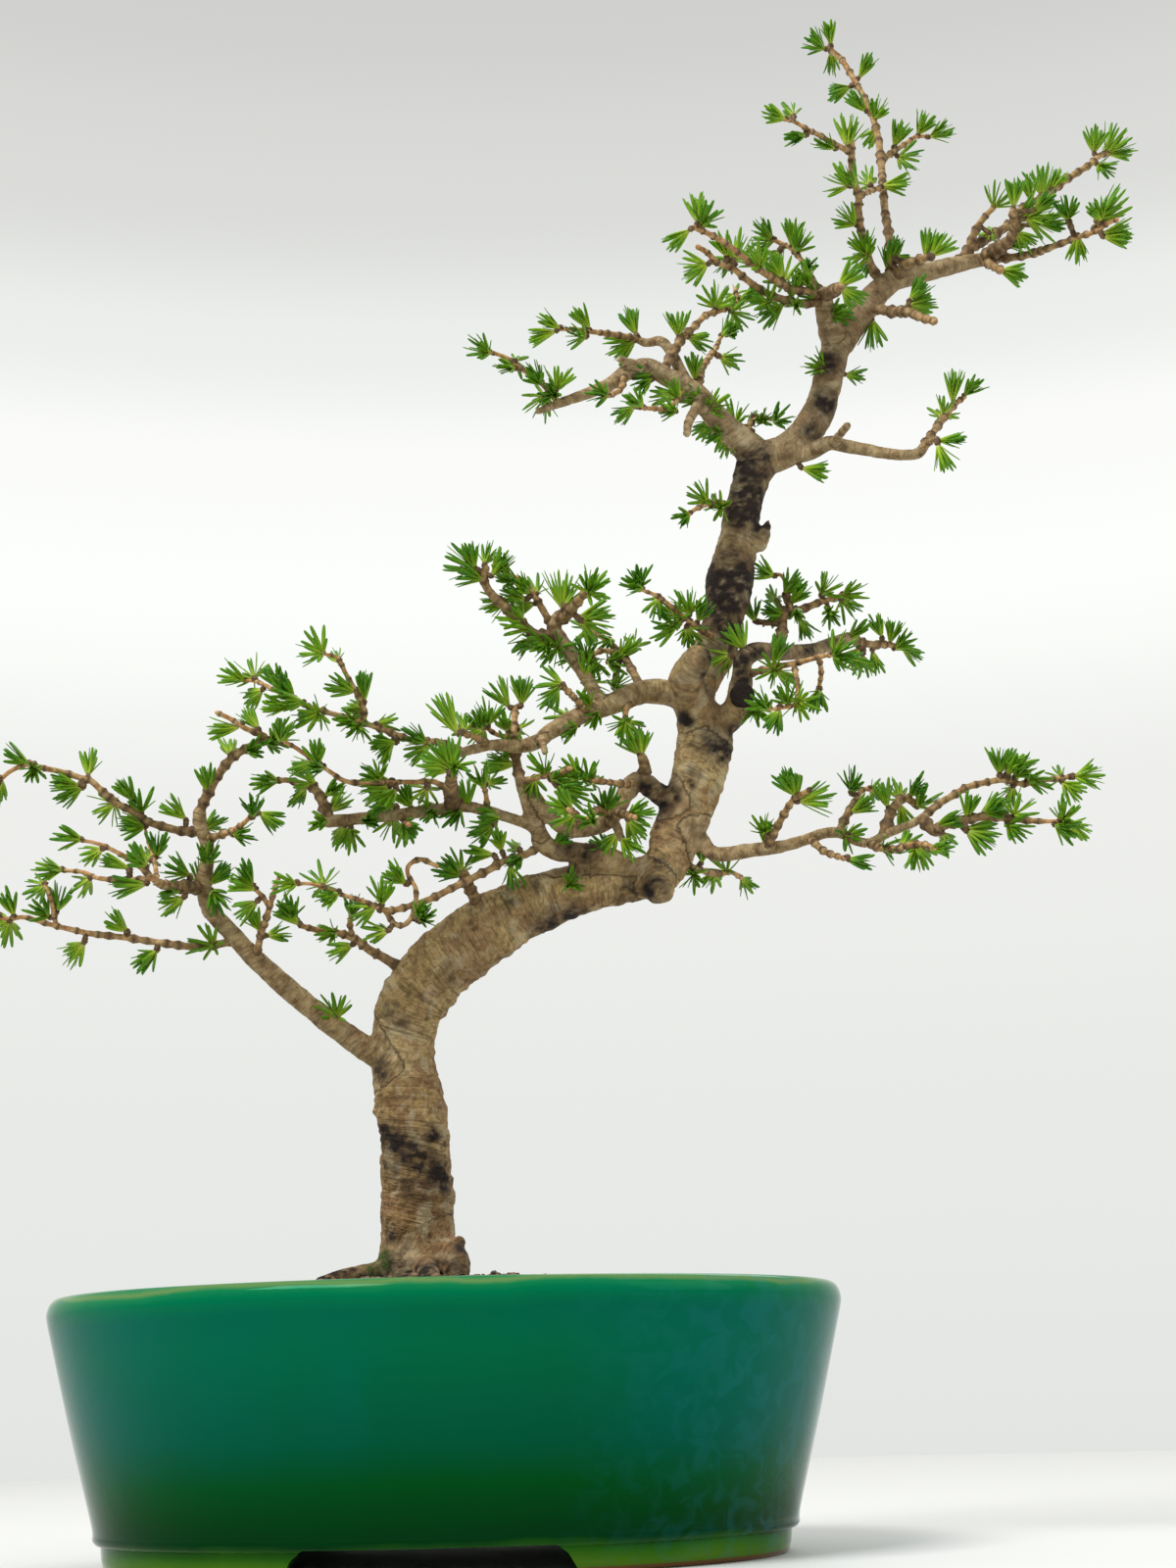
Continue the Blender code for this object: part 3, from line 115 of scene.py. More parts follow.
# Wood that is too thick to be a leafy twig: it grows in one piece with the trunk.
# Each row: what it grows from, depth at its tip in mm towards the viewer,
# widths in pixels at its root and tip, route, tufts set straight on its bark.
LIMBS = {
    "burl": ("trunk", 12, 40, 30, "716,738 703,712 703,690 712,672", ""),
    "elbow": ("trunk", 8, 40, 30, "660,890 668,902 674,908", ""),
    "root_left": ("trunk", 14, 30, 12, "412,1290 385,1299 356,1302 326,1309", ""),
    "root_right": ("trunk", 10, 44, 28, "440,1266 460,1284 466,1304", ""),
    "root_front": ("trunk", 34, 34, 15, "430,1284 437,1300 446,1316", ""),
    "root_back": ("trunk", -34, 44, 20, "428,1270 420,1284 408,1296", ""),
    "low_left": ("trunk", 16, 27, 14,
        "412,1092 385,1078 345,1050 300,1014 262,980 236,952 215,928 208,905 "
        "211,880 211,860 204,842 204,828",
        "344,1038>338,1020 205,905>200,872 213,903>238,884 216,908>230,932 "
        "208,846>222,830 211,882>221,866"),
    "inner_low": ("trunk", 10, 24, 20, "655,892 625,877 590,870 563,866 550,856",
        "565,862>585,852 612,872>628,892 625,872>600,858 580,902>588,906"),
    "inner_arch": ("trunk", 18, 22, 15,
        "692,828 670,808 652,796 640,806 632,822 620,838 600,845 578,846 562,833 "
        "548,817 538,804", ""),
    "inner_spur": ("inner_arch", 22, 12, 9, "624,834 630,845 634,856",
        "634,856>652,876 630,850>617,858"),
    "inner_rise": ("inner_low", 20, 19, 12, "552,862 548,845 541,828 535,810 530,795", ""),
    "mid_left": ("inner_rise", 24, 12, 14,
        "548,846 530,838 512,832 492,826 470,823 440,827 410,831 380,834 350,837 334,838",
        "512,834>484,838 504,842>478,852 478,824>470,796 470,826>462,846 446,822>420,826 "
        "440,826>446,842 420,824>408,806 402,834>388,842 404,822>374,826 372,838>384,846 "
        "352,842>340,854 358,846>358,870 334,838>322,846 336,828>352,806 392,820>386,804"),
    "upper_left": ("trunk", 26, 28, 10,
        "694,708 665,705 645,710 625,718 600,727 580,736 562,746 548,757 527,762 505,760 "
        "485,764 468,769",
        "604,722>592,718 580,730>566,734 590,740>574,756 612,726>604,744"),
    "upper_peg": ("upper_left", 26, 9, 8, "555,752 555,762 556,768", ""),
    "mid_up": ("upper_left", 10, 14, 16,
        "614,716 602,698 592,682 582,668 572,652 564,640 572,628",
        "596,690>606,672 600,697>616,700 560,658>552,674 568,660>568,678"),
    "stump": ("trunk", 4, 34, 18, "728,745 748,728 756,700 758,672",
        "770,722>772,740"),
    "left_fork": ("trunk", 20, 32, 8,
        "782,470 762,455 740,436 716,408 700,395 680,384 660,374 640,380 622,392 598,402 "
        "572,411 549,420",
        "722,418>738,420 728,430>712,432 716,408>694,408 738,442>722,456 745,440>744,466 "
        "668,382>640,392 664,388>650,406"),
    "left_rise": ("left_fork", 2, 15, 9, "706,402 696,382 686,362 675,348 660,350 650,346", ""),
    "left_stub": ("left_fork", 18, 10, 8, "658,374 644,370 632,367", ""),
    "left_peg": ("left_fork", 22, 13, 9, "712,412 703,430 701,443", ""),
    "crown": ("trunk", 2, 36, 30, "782,470 805,458 826,436 838,412 845,388 851,362 856,346",
        "842,376>822,380 862,382>884,374"),
    "crown_left": ("crown", 10, 28, 18, "856,352 846,332 841,312 842,300",
        "848,322>862,330 850,312>872,316 836,306>812,300"),
    "crown_right": ("crown", -6, 32, 14,
        "856,352 872,328 890,305 912,286 935,280 965,273 990,267 1008,264",
        "890,326>890,360 900,282>880,262 905,276>908,248"),
    "right_spar": ("trunk", 14, 18, 11,
        "796,470 822,463 846,452 862,455 890,460 915,464 936,463 943,455",
        "818,478>846,488"),
    "spar_stub": ("right_spar", 18, 10, 9, "850,452 859,441 865,434", ""),
    "right_mid": ("stump", -30, 20, 12, "758,668 775,664 800,666 830,663 850,656 866,650",
        "760,664>742,634 745,668>722,676"),
    "right_low": ("trunk", 22, 17, 9,
        "700,848 714,856 723,868 737,872 770,867 797,864 822,857 842,850 858,850 874,858 888,860 "
        "906,850 928,842 945,832",
        "780,862>783,840"),
}

# %% The leafy twigs
# Leafy twigs: a twig that grows from a limb starts a spray of its own, and the twigs
# that grow from it belong to the same spray. Same columns as above.
TWIGS = {
    "low_far": ("low_left", 30, 9, 5,
        "236,966 205,966 170,963 130,957 95,953 75,949 50,943 25,936 8,938 -6,934",
        "14,934>10,914 10,940>-12,956 -2,936>-27,930 130,950>110,934 86,962>62,980 "
        "160,970>142,992 218,965>203,962"),
    "low_far_spur": ("low_far", 40, 6, 4, "58,942 52,918 46,903",
        "58,930>68,903 46,903>26,905 50,936>38,929"),
    "low_inner": ("low_left", 40, 9, 5, "266,974 266,955 272,936 279,912 285,894",
        "265,950>256,930 272,955>290,945"),
    "low_inner_side": ("low_inner", 30, 6, 5, "276,926 268,915 258,905",
        "262,908>234,902 262,920>236,934 258,904>250,882"),
    "low_tip": ("low_left", 36, 13, 8, "205,908 185,904 165,902 156,896",
        "194,893>170,885 188,916>160,926 184,910>168,912"),
    "low_tip_top": ("low_tip", 46, 7, 4, "158,897 137,880 120,870 100,861 80,857",
        "84,857>58,855 105,866>80,869 150,884>132,872"),
    "low_tip_out": ("low_tip", 28, 7, 4, "156,897 128,898 100,896 85,890 62,888",
        "64,888>43,892 92,896>72,902 132,886>104,880 150,902>108,906"),
    "low_tip_rear": ("low_tip", 14, 6, 3, "160,898 158,880 152,862 148,845",
        "160,874>167,852 154,878>146,866"),
    "far_left": ("low_left", 30, 10, 5,
        "204,850 185,848 165,843 150,838 135,828 120,820 105,808 93,797 80,793 60,787 "
        "45,784 30,780 14,785 2,794 -6,803",
        "30,780>6,768 2,796>-12,814 -4,800>-28,794 34,783>42,798 90,792>88,762 "
        "82,802>54,802 84,804>62,822 117,820>94,830 137,817>122,799 145,829>149,813 "
        "152,840>120,836 148,844>124,850 190,836>168,818"),
    "rise_right": ("low_left", 30, 9, 5, "210,857 222,853 234,849 245,843 256,833",
        "258,834>262,822 264,829>286,840 238,852>260,858"),
    "rise_top": ("low_left", 26, 12, 5,
        "204,828 211,812 222,792 236,774 254,762 272,753 250,743 236,734 221,727",
        "213,810>212,782 235,771>230,750 252,767>271,770 245,742>210,748 264,744>245,721 "
        "278,756>300,750 272,758>290,768"),
    "left_low": ("trunk", 14, 12, 6,
        "408,988 393,978 378,970 362,958 345,952 328,950 308,945",
        "306,944>284,926 360,964>334,970 342,952>334,958 300,936>294,925"),
    "left_low_spur": ("left_low", 20, 6, 6, "360,956 357,942 359,933", "358,934>364,922"),
    "inner_thin": ("inner_low", 30, 9, 7,
        "552,866 536,872 516,878 500,887 480,897 460,907 440,917 420,924 400,929 388,928",
        "532,874>524,888 520,882>528,906 504,872>470,872 512,868>504,850 530,866>520,856"),
    "inner_thin_left": ("inner_thin", 40, 6, 4,
        "390,928 372,920 352,914 336,908 318,902 300,902",
        "302,902>283,912 330,904>322,888 345,912>332,926 390,922>390,905 384,924>356,930"),
    "inner_thin_hook": ("inner_thin", 24, 6, 5,
        "392,932 402,942 412,944 420,936 424,922 424,906 416,892 418,882 430,877 446,884",
        "414,902>394,890 396,950>372,946 430,940>442,942 426,936>430,934"),
    "knob_spur": ("trunk", 16, 14, 12, "486,924 480,908 474,892", "470,894>446,886 472,890>462,866"),
    "rise_left": ("mid_left", 30, 8, 5, "474,824 460,810 444,798 424,798 404,798 392,798",
        "400,798>360,792 398,802>364,808 404,806>390,826 388,796>384,788 436,804>424,812"),
    "rise_left_end": ("rise_left", 38, 6, 5, "392,798 356,798 336,787 316,773 300,762 288,756",
        "324,780>324,764 320,778>294,780 286,758>296,742 330,784>320,794"),
    "mid_tip": ("mid_left", 20, 14, 5, "336,836 330,820 322,806 308,800 292,796 278,798",
        "284,797>264,804 312,804>294,814 322,800>300,790 332,812>350,808"),
    "mid_spur": ("mid_left", 20, 6, 5, "498,826 496,812 494,802", "494,804>486,788 496,800>508,788"),
    "mid_hang": ("mid_left", 34, 6, 5, "408,834 412,838 418,842", "412,838>424,856 414,838>412,850"),
    "top_rise": ("inner_rise", 14, 12, 7, "532,800 527,778 524,755 525,734 526,722",
        "520,722>500,690 532,720>534,686 526,780>490,776 522,768>504,768 528,744>532,736 "
        "518,746>512,738"),
    "top_rise_side": ("top_rise", 24, 6, 4, "524,752 508,750 494,742 478,742",
        "498,740>498,724 494,744>478,742 492,744>486,734"),
    "rise_brush": ("inner_rise", 34, 8, 6, "534,798 552,792 568,790 582,784",
        "556,790>550,780 546,794>540,806 562,796>586,800 566,800>604,806 568,802>608,826"),
    "near_fan": ("inner_arch", 44, 8, 6, "594,846 588,832 580,826", "584,828>562,816 588,830>566,830"),
    "arch_right": ("inner_arch", 30, 9, 6, "628,828 640,832 648,834", "640,832>664,832 640,836>656,852"),
    "arch_left": ("inner_arch", 34, 8, 6, "624,832 610,826 600,836",
        "618,832>606,820 632,816>622,814 606,838>596,842 618,828>628,812"),
    "arch_top": ("inner_arch", 20, 8, 6, "652,798 640,800 620,798 604,796",
        "600,796>600,784 604,798>606,788 592,792>572,794"),
    "elbow_fan": ("inner_arch", 8, 16, 11, "656,796 658,784 655,772",
        "655,772>652,740 652,770>636,746"),
    "big_fans": ("upper_left", 34, 8, 6, "500,760 484,752 470,748", "468,750>444,708 472,746>468,728"),
    "big_low": ("mid_left", 46, 14, 11, "462,826 460,806 461,788",
        "461,786>452,748 456,782>424,770 464,782>474,790 460,786>430,758"),
    "big_left": ("upper_left", 40, 8, 6,
        "474,766 450,758 420,755 395,746 372,738 345,730 318,722 300,714",
        "436,758>412,752 440,760>410,776 402,756>386,780 404,758>380,764 384,738>398,734 "
        "366,740>372,758 362,736>352,744 372,726>352,720 300,712>280,700 326,728>318,744 "
        "330,724>300,730 310,716>286,724"),
    "big_left_up": ("big_left", 44, 7, 4, "372,736 370,718 360,700 352,686 345,672 330,667",
        "330,667>306,662 345,676>340,658 362,706>336,702 372,716>372,686 370,720>358,712"),
    "big_left_end": ("big_left", 30, 6, 4, "302,714 284,706 272,700 260,695 246,694",
        "250,694>226,694 260,692>250,672 288,704>274,682 292,710>288,690 268,704>246,710 "
        "296,722>270,726"),
    "top_left": ("mid_up", 16, 13, 9,
        "566,648 548,648 532,636 518,622 505,610 497,600 493,588 496,580",
        "494,592>464,584 490,588>470,572 488,582>448,566 484,580>476,560 494,576>500,550 "
        "502,588>520,566 540,642>510,640 544,650>520,664 534,634>508,622 556,656>528,652"),
    "top_mid": ("mid_up", 12, 9, 5, "564,640 556,626 549,614 540,600 528,590 514,587",
        "520,588>508,582 548,606>546,586 540,606>530,602 528,594>506,592 546,616>522,616 "
        "536,612>512,606 520,612>486,622"),
    "top_fan": ("mid_up", 28, 14, 8, "570,634 578,628 588,616 598,604",
        "574,622>566,578 576,618>590,594 600,606>606,600 590,630>630,622 594,634>628,642 "
        "600,604>612,600"),
    "top_right": ("upper_left", -14, 11, 6, "656,704 646,686 636,670 622,656 606,643 594,636",
        "632,672>650,656 646,660>652,644 620,676>636,684 622,652>616,668 600,640>590,640"),
    "top_right_low": ("top_right", 4, 7, 5, "634,668 615,664 600,671 588,674",
        "606,674>606,694 590,668>578,658 626,702>636,704 598,672>584,660"),
    "under_fan": ("upper_left", 10, 9, 6, "652,706 640,722 638,735", "638,736>632,756 640,736>652,744"),
    "mid_fan": ("upper_left", 30, 8, 6, "600,728 586,712 574,700", "574,698>540,700 570,702>552,716"),
    "stem_left": ("trunk", 22, 8, 4,
        "740,662 726,650 712,640 698,630 684,618 670,608 655,602",
        "656,602>638,602 672,610>668,616 704,626>700,606 712,634>720,622 704,636>698,652 "
        "694,632>676,632 690,640>664,644 700,640>716,648 652,600>654,592"),
    "right_far": ("right_mid", -44, 10, 6, "866,652 880,656 895,658 908,658 922,662",
        "908,656>912,636 920,660>942,668 900,650>888,634 912,662>932,656 890,664>900,680 "
        "876,662>862,682 866,652>884,640 880,668>884,686"),
    "right_top": ("right_mid", -20, 14, 5,
        "792,664 798,644 800,628 818,622 838,614 852,610 862,606",
        "860,608>880,608 858,612>872,626 838,606>850,598 800,606>816,592 792,612>788,598 "
        "800,628>776,624 770,634>762,616 816,632>830,644 846,624>846,640 806,616>826,604 "
        "800,620>784,632 812,620>812,640"),
    "right_curl": ("right_top", -10, 5, 4, "804,616 803,600 798,588 792,586", "790,588>766,586"),
    "right_front": ("stump", 24, 9, 5, "762,690 778,684 795,680 815,676 838,670 850,668",
        "790,676>800,650 792,684>816,694 850,668>868,656 850,670>866,682 862,670>888,672 "
        "790,684>784,692"),
    "right_hang": ("right_front", 10, 6, 5, "836,672 838,686 836,700", "836,704>832,730"),
    "right_small": ("right_front", 36, 6, 4, "810,678 814,700 812,718 800,722 786,724",
        "804,718>796,706 796,724>786,740 784,724>766,718 814,716>814,726"),
    "low_up": ("right_low", 36, 10, 6, "782,866 794,842 804,824 812,814 826,806",
        "812,812>792,790 814,818>856,812 812,816>806,786 780,850>776,846"),
    "low_hang": ("right_low", 36, 9, 5, "828,860 840,868 855,874 866,877", "864,877>888,886"),
    "low_fork": ("right_low", 8, 10, 5, "856,850 863,834 872,818 880,806 890,806",
        "868,808>868,794 888,806>904,800 868,830>892,818 862,852>872,862"),
    "low_mid": ("right_low", 46, 9, 6, "884,862 900,866 916,866 930,862 944,862 956,866",
        "900,864>914,874 920,864>934,850 934,866>930,890 948,866>966,872 936,862>944,878"),
    "low_knob": ("right_low", 12, 14, 8, "902,852 908,832 912,824 922,814 934,820",
        "906,824>896,796 920,816>914,796 928,812>938,802 936,824>948,812 918,820>930,840"),
    "low_tail": ("right_low", 20, 9, 5,
        "942,834 957,821 972,812 988,803 1008,798 1024,796 1045,800 1066,796 1090,793",
        "1020,790>1018,760 1030,782>1056,772 1036,792>1046,788 1048,796>1066,806 "
        "1084,794>1086,782 1096,792>1122,798 1084,798>1098,822 1034,802>1032,808 "
        "1026,790>1044,778"),
    "low_end": ("right_low", 38, 14, 4,
        "940,834 950,846 956,848 962,842 985,836 1010,833 1035,836 1060,838 1082,838",
        "986,836>990,812 1000,832>1026,812 1034,832>1046,812 1084,838>1082,828 "
        "1090,840>1116,844 1076,842>1092,858 1028,842>1040,858 984,846>1024,852 "
        "986,848>1014,866 956,842>980,838 962,850>974,858 1004,830>1024,828"),
    "back_twig": ("trunk", -30, 8, 5, "700,882 716,888 732,892 746,890 756,896",
        "742,890>728,878 756,896>768,902 716,880>716,864 708,892>706,906 730,890>724,900"),
    "spar_top": ("right_spar", -6, 10, 6, "942,458 950,444 962,428 974,413 984,405",
        "972,412>976,374 962,426>968,404 984,404>996,400"),
    "spar_low": ("right_spar", 26, 7, 5, "948,450 954,448 957,450", "956,450>982,456 956,452>970,484"),
    "crown_bud": ("trunk", 12, 8, 4, "756,512 744,514 730,514 718,516 706,522 702,528",
        "722,512>702,504 732,514>724,500 736,518>730,526 703,524>692,540"),
    "fork_twig": ("left_fork", -12, 8, 4, "762,452 764,436 774,426 790,429",
        "750,434>742,424 768,424>770,416 778,430>776,438 788,430>802,434 768,440>774,446"),
    "left_end": ("left_rise", 16, 8, 4, "652,346 635,343 616,340 600,338 586,336 568,336",
        "572,336>550,332 568,338>536,346 602,336>584,320 598,344>580,352 650,342>638,312 "
        "648,348>616,364"),
    "left_tail": ("left_fork", 30, 8, 4,
        "570,411 562,401 550,388 538,380 528,374 518,366 506,361 498,360",
        "500,360>482,364 526,368>526,358 526,376>508,384 552,392>542,386 556,404>540,410 "
        "568,398>570,382 566,402>558,414"),
    "left_drop": ("left_fork", 30, 8, 5, "638,382 634,396 626,402 618,404", "620,404>606,412"),
    "left_under": ("left_fork", 30, 7, 5, "696,400 684,416 668,417 655,416",
        "656,416>640,414 648,414>622,422 690,420>676,428 694,408>676,402 690,402>664,404"),
    "left_top": ("left_fork", -18, 10, 4,
        "684,364 694,348 706,336 720,322 732,318 748,312 752,304 750,294",
        "692,344>690,316 702,344>724,340 730,314>730,300 746,318>770,328 750,300>752,290 "
        "754,306>776,306"),
    "left_mid": ("left_fork", -26, 9, 4, "710,406 713,392 716,378 724,364 730,356 738,338",
        "709,388>709,368 734,364>756,360 736,344>750,336 742,342>750,348"),
    "crown_arm": ("crown_left", 24, 10, 6,
        "842,306 824,310 800,306 780,298 760,284 748,274 732,268 722,258 712,252",
        "722,270>690,280 750,268>750,232 742,262>728,250 808,304>806,292 800,310>772,330 "
        "812,312>808,326 784,308>776,316 748,264>734,262"),
    "crown_low": ("crown_left", 40, 9, 6,
        "842,304 826,298 806,294 792,286 776,276 758,262 740,248 722,238 708,232",
        "712,228>706,196 704,234>676,254 798,284>780,268 826,292>814,286 800,288>796,262 "
        "776,272>764,262 716,230>726,226"),
    "crown_up": ("crown_left", 2, 8, 5, "840,302 828,284 818,266 808,254 800,250 788,244",
        "788,244>770,236 790,246>764,246 808,252>808,226 812,258>820,250 796,256>786,258 "
        "822,276>824,282"),
    "crown_knob": ("crown_left", 30, 13, 10, "842,302 852,296 858,293", "856,292>878,276 858,294>880,296"),
    "tower": ("crown_right", 14, 9, 8,
        "896,290 888,268 882,250 878,232 876,214 876,200 870,180 869,160 869,146",
        "884,260>872,248 888,256>876,262 874,230>850,222 874,192>856,180 866,190>846,172 "
        "886,262>866,258"),
    "tower_left": ("tower", 32, 7, 4, "868,156 850,146 836,138 824,132 810,124 800,122",
        "802,122>776,124 810,118>804,98 822,138>802,152 852,152>830,154 864,150>862,116 "
        "866,150>872,118"),
    "tower_right": ("tower", -8, 7, 5, "879,199 890,194 898,192", "900,190>932,188 888,188>886,170"),
    "spire": ("crown_right", -22, 10, 6,
        "908,282 910,264 907,240 903,215 901,190 899,165 896,140 890,118 882,100 874,86 "
        "866,72 858,60 846,50",
        "876,80>890,58 868,88>842,90 884,114>862,100 892,122>894,116 848,52>854,60 "
        "848,46>842,38 842,50>820,48 896,130>884,134"),
    "spire_side": ("spire", -34, 7, 4, "901,164 910,156 922,148 934,140 944,139",
        "912,150>922,130 916,160>944,164 936,138>948,122 948,140>972,138"),
    "crest": ("crown_right", 12, 14, 8, "912,284 924,270 936,266 950,262",
        "908,268>914,252 912,262>932,256 944,262>950,238 950,262>972,244"),
    "crest_low": ("crown_right", 34, 12, 8, "896,322 910,318 926,318 940,324 954,328",
        "926,312>958,304 924,316>950,316 928,306>946,292"),
    "far_top": ("crown_right", -24, 12, 6,
        "975,268 990,254 1010,242 1032,228 1042,214 1066,200 1090,182 1112,168 1124,158 "
        "1144,156",
        "1116,156>1118,132 1128,156>1152,130 1130,158>1158,148 1120,168>1130,186 "
        "1064,200>1062,164 1070,196>1088,172 1052,206>1046,188"),
    "far_rise": ("far_top", -2, 9, 6, "986,256 996,234 1006,220 1014,212",
        "1014,212>1030,192 1010,238>1014,228"),
    "far_mid": ("crown_right", 20, 14, 10, "1004,266 1012,258 1030,246 1036,232 1034,216",
        "1034,212>1034,184 1036,236>1056,244 1040,226>1060,212 1022,250>1048,248 "
        "1046,222>1090,222 1060,228>1084,234 1056,214>1074,210"),
    "far_right": ("crown_right", 34, 10, 5,
        "1008,264 1030,263 1052,259 1076,251 1100,242 1118,236 1130,228 1140,224",
        "1116,232>1150,194 1124,238>1160,238 1126,242>1152,252 1124,226>1108,216 "
        "1100,240>1106,256 1090,224>1082,218 1118,224>1144,206"),
    "far_low": ("crown_right", 10, 10, 7, "1004,268 1014,272 1022,276", "1020,276>1048,288"),
}

# Short twigs that share the trunk's node.
FUSED = {
    "mid_spur", "mid_hang", "under_fan", "mid_fan", "elbow_fan", "far_low", "spar_low",
    "knob_spur", "low_hang", "left_drop", "arch_right", "crown_knob", "near_fan", "big_fans",
}

# %% [markdown]
# A pixel and a depth give one place in space: the camera's ray through the pixel, cut at
# that depth. The camera was worked out from the pot's rim and foot, whose size is known.

# %% From the photograph to the pot's frame
LEVEL_RIGHT = Vector((1, 0, 0))
LEVEL_UP = Vector((0, -math.sin(CAMERA_PITCH), math.cos(CAMERA_PITCH)))
FORWARD = Vector((0, math.cos(CAMERA_PITCH), math.sin(CAMERA_PITCH)))
RIGHT = math.cos(CAMERA_ROLL) * LEVEL_RIGHT + math.sin(CAMERA_ROLL) * LEVEL_UP
UP = math.cos(CAMERA_ROLL) * LEVEL_UP - math.sin(CAMERA_ROLL) * LEVEL_RIGHT


def sight(px, py, near):
    """The point, in mm, seen at a pixel, `near` mm in front of the pot's middle."""
    ray = FORWARD * PHOTO_FOCAL + RIGHT * (px - PHOTO_CENTRE[0]) + UP * (PHOTO_CENTRE[1] - py)
    return CAMERA_PLACE + ray * ((-near - CAMERA_PLACE.y) / ray.y)


def on_tree(px, py, near):
    """Like sight(), with the tree leaning towards the viewer as it rises."""
    return sight(px, py, near + FORWARD_LEAN * (SOIL_LINE - py) / TREE_RISE)


def pixel_size(point):
    """How many mm one pixel of the photograph covers at a point."""
    return (point - CAMERA_PLACE).dot(FORWARD) / PHOTO_FOCAL


def read_route(text):
    return [tuple(float(v) for v in pair.split(",")) for pair in text.split()]


def nearest_on(route, spot):
    """Where a pixel meets a route: segment number and the share along it."""
    best = (1e9, 0, 0.0)
    for i in range(len(route) - 1):
        a = Vector(route[i][:2])
        run = Vector(route[i + 1][:2]) - a
        share = max(0.0, min(1.0, (Vector(spot) - a).dot(run) / max(run.length_squared, 1e-9)))
        away = (a + run * share - Vector(spot)).length
        if away < best[0]:
            best = (away, i, share)
    return best[1], best[2]


class Stem:
    """One run of wood: its route, its depths, its places in mm and its radii in mm."""

    def __init__(self, name, node, route, nears, widths, tufts):
        self.name = name
        self.node = node
        self.route = route
        self.nears = nears
        self.places = [on_tree(x, y, d) for (x, y), d in zip(route, nears)]
        self.radii = [w / 2 * pixel_size(p) for w, p in zip(widths, self.places)]
        self.tufts = tufts

    def at(self, spot):
        """Depth, place and radius where the stem passes a pixel."""
        i, share = nearest_on(self.route, spot)
        near = self.nears[i] * (1 - share) + self.nears[i + 1] * share
        place = self.places[i].lerp(self.places[i + 1], share)
        return near, place, self.radii[i] * (1 - share) + self.radii[i + 1] * share


def grade(route, first, last):
    """Values that change evenly along a route, from its root to its tip."""
    steps = [0.0]
    for a, b in zip(route, route[1:]):
        steps.append(steps[-1] + math.dist(a, b))
    return [first + (last - first) * s / steps[-1] for s in steps]


def segment_gap(a, b, starts, ends):
    """Least distances from the segment a-b to many segments."""
    d1 = b - a
    d2 = ends - starts
    r = a - starts
    aa = max(d1 @ d1, 1e-9)
    ee = np.maximum((d2 * d2).sum(1), 1e-9)
    f = (d2 * r).sum(1)
    c = r @ d1
    bb = d2 @ d1
    spread = np.maximum(aa * ee - bb * bb, 1e-9)
    s = np.clip((bb * f - c * ee) / spread, 0, 1)
    t = np.clip((bb * s + f) / ee, 0, 1)
    s = np.clip((bb * t - c) / aa, 0, 1)
    apart = (a + s[:, None] * d1) - (starts + t[:, None] * d2)
    return np.sqrt((apart * apart).sum(1))


# %% [markdown]
# Twigs that would pass through each other bend clear, by the same rule as in the solid
# model: each new twig tries a few depths and keeps the first with room around it.

# %% Room around each twig
class Room:
    """What is already placed, so that nodes keep clear of each other."""

    def __init__(self):
        self.rows = {}

    def add(self, node, a, b, radius):
        self.rows.setdefault(node, []).append((*a, *b, radius))

    def clear(self, node, a, b, radius):
        """Whether a segment is clear of every other node."""
        for other, rows in self.rows.items():
            if other == node:
                continue
            block = np.array(rows)
            gap = segment_gap(np.array(a), np.array(b), block[:, 0:3], block[:, 3:6])
            if (gap < block[:, 6] + radius + NODE_CLEAR).any():
                return False
        return True


def stem_clear(room, stem):
    """Whether a twig passes clear of other nodes, past the stretch where it is rooted."""
    gone = 0.0
    for i in range(len(stem.places) - 1):
        a, b = stem.places[i], stem.places[i + 1]
        gone += (b - a).length
        rooted = i == 0 or gone <= ROOTED_STRETCH
        if not rooted and not room.clear(stem.node, a, b, stem.radii[i] + TWIG_ROUGHNESS):
            return False
    return True


# %% Lay the stems out
def lay_out():
    """All stems by name. A twig that would pass through another spray bends clear."""
    trunk_route = [row[:2] for row in TRUNK]
    stems = {"trunk": Stem("trunk", "trunk", trunk_route, [row[3] for row in TRUNK],
                           [row[2] for row in TRUNK], [])}
    room = Room()
    for name, (parent, tip_near, wide, thin, route, tufts) in {**LIMBS, **TWIGS}.items():
        route = read_route(route)
        root_near, root_place, _ = stems[parent].at(route[0])
        grows_on = stems[parent].node
        node = grows_on if name in LIMBS or name in FUSED or grows_on != "trunk" else name
        for bend in BENDS:
            shift = bend if node != "trunk" else 0
            nears = grade(route, root_near, tip_near * DEPTH_SPREAD + shift)
            stem = Stem(name, node, route, nears, grade(route, wide, thin), tufts)
            stem.places[0] = root_place
            if node == "trunk" or stem_clear(room, stem):
                break
        stems[name] = stem
        for i in range(len(stem.places) - 1):
            room.add(node, stem.places[i], stem.places[i + 1], max(stem.radii[i:i + 2]))
    return stems


def tufts_of(stem):
    """Each tuft of a stem: where it sits, which way it points and how long it is."""
    found = []
    for number, text in enumerate(stem.tufts.split() if stem.tufts else []):
        base, tip = (tuple(float(v) for v in part.split(",")) for part in text.split(">"))
        near, on_stem, _ = stem.at(base)
        foot = on_tree(*base, near)
        flat = on_tree(*tip, near) - foot
        length = max(NEEDLE, flat.length)
        lean = math.acos(min(1.0, max(LEAST_FLAT, flat.length / length)))
        side = -1 if number % 3 == 1 else 1
        aim = flat.normalized() * math.cos(lean) + Vector((0, -side, 0)) * math.sin(lean)
        found.append((foot, aim.normalized(), length, on_stem))
    return found


def frame_along(aim):
    """Two directions square to a third."""
    side = aim.cross(Vector((0, 0, 1)) if abs(aim.z) < 0.8 else Vector((1, 0, 0))).normalized()
    return side, aim.cross(side)


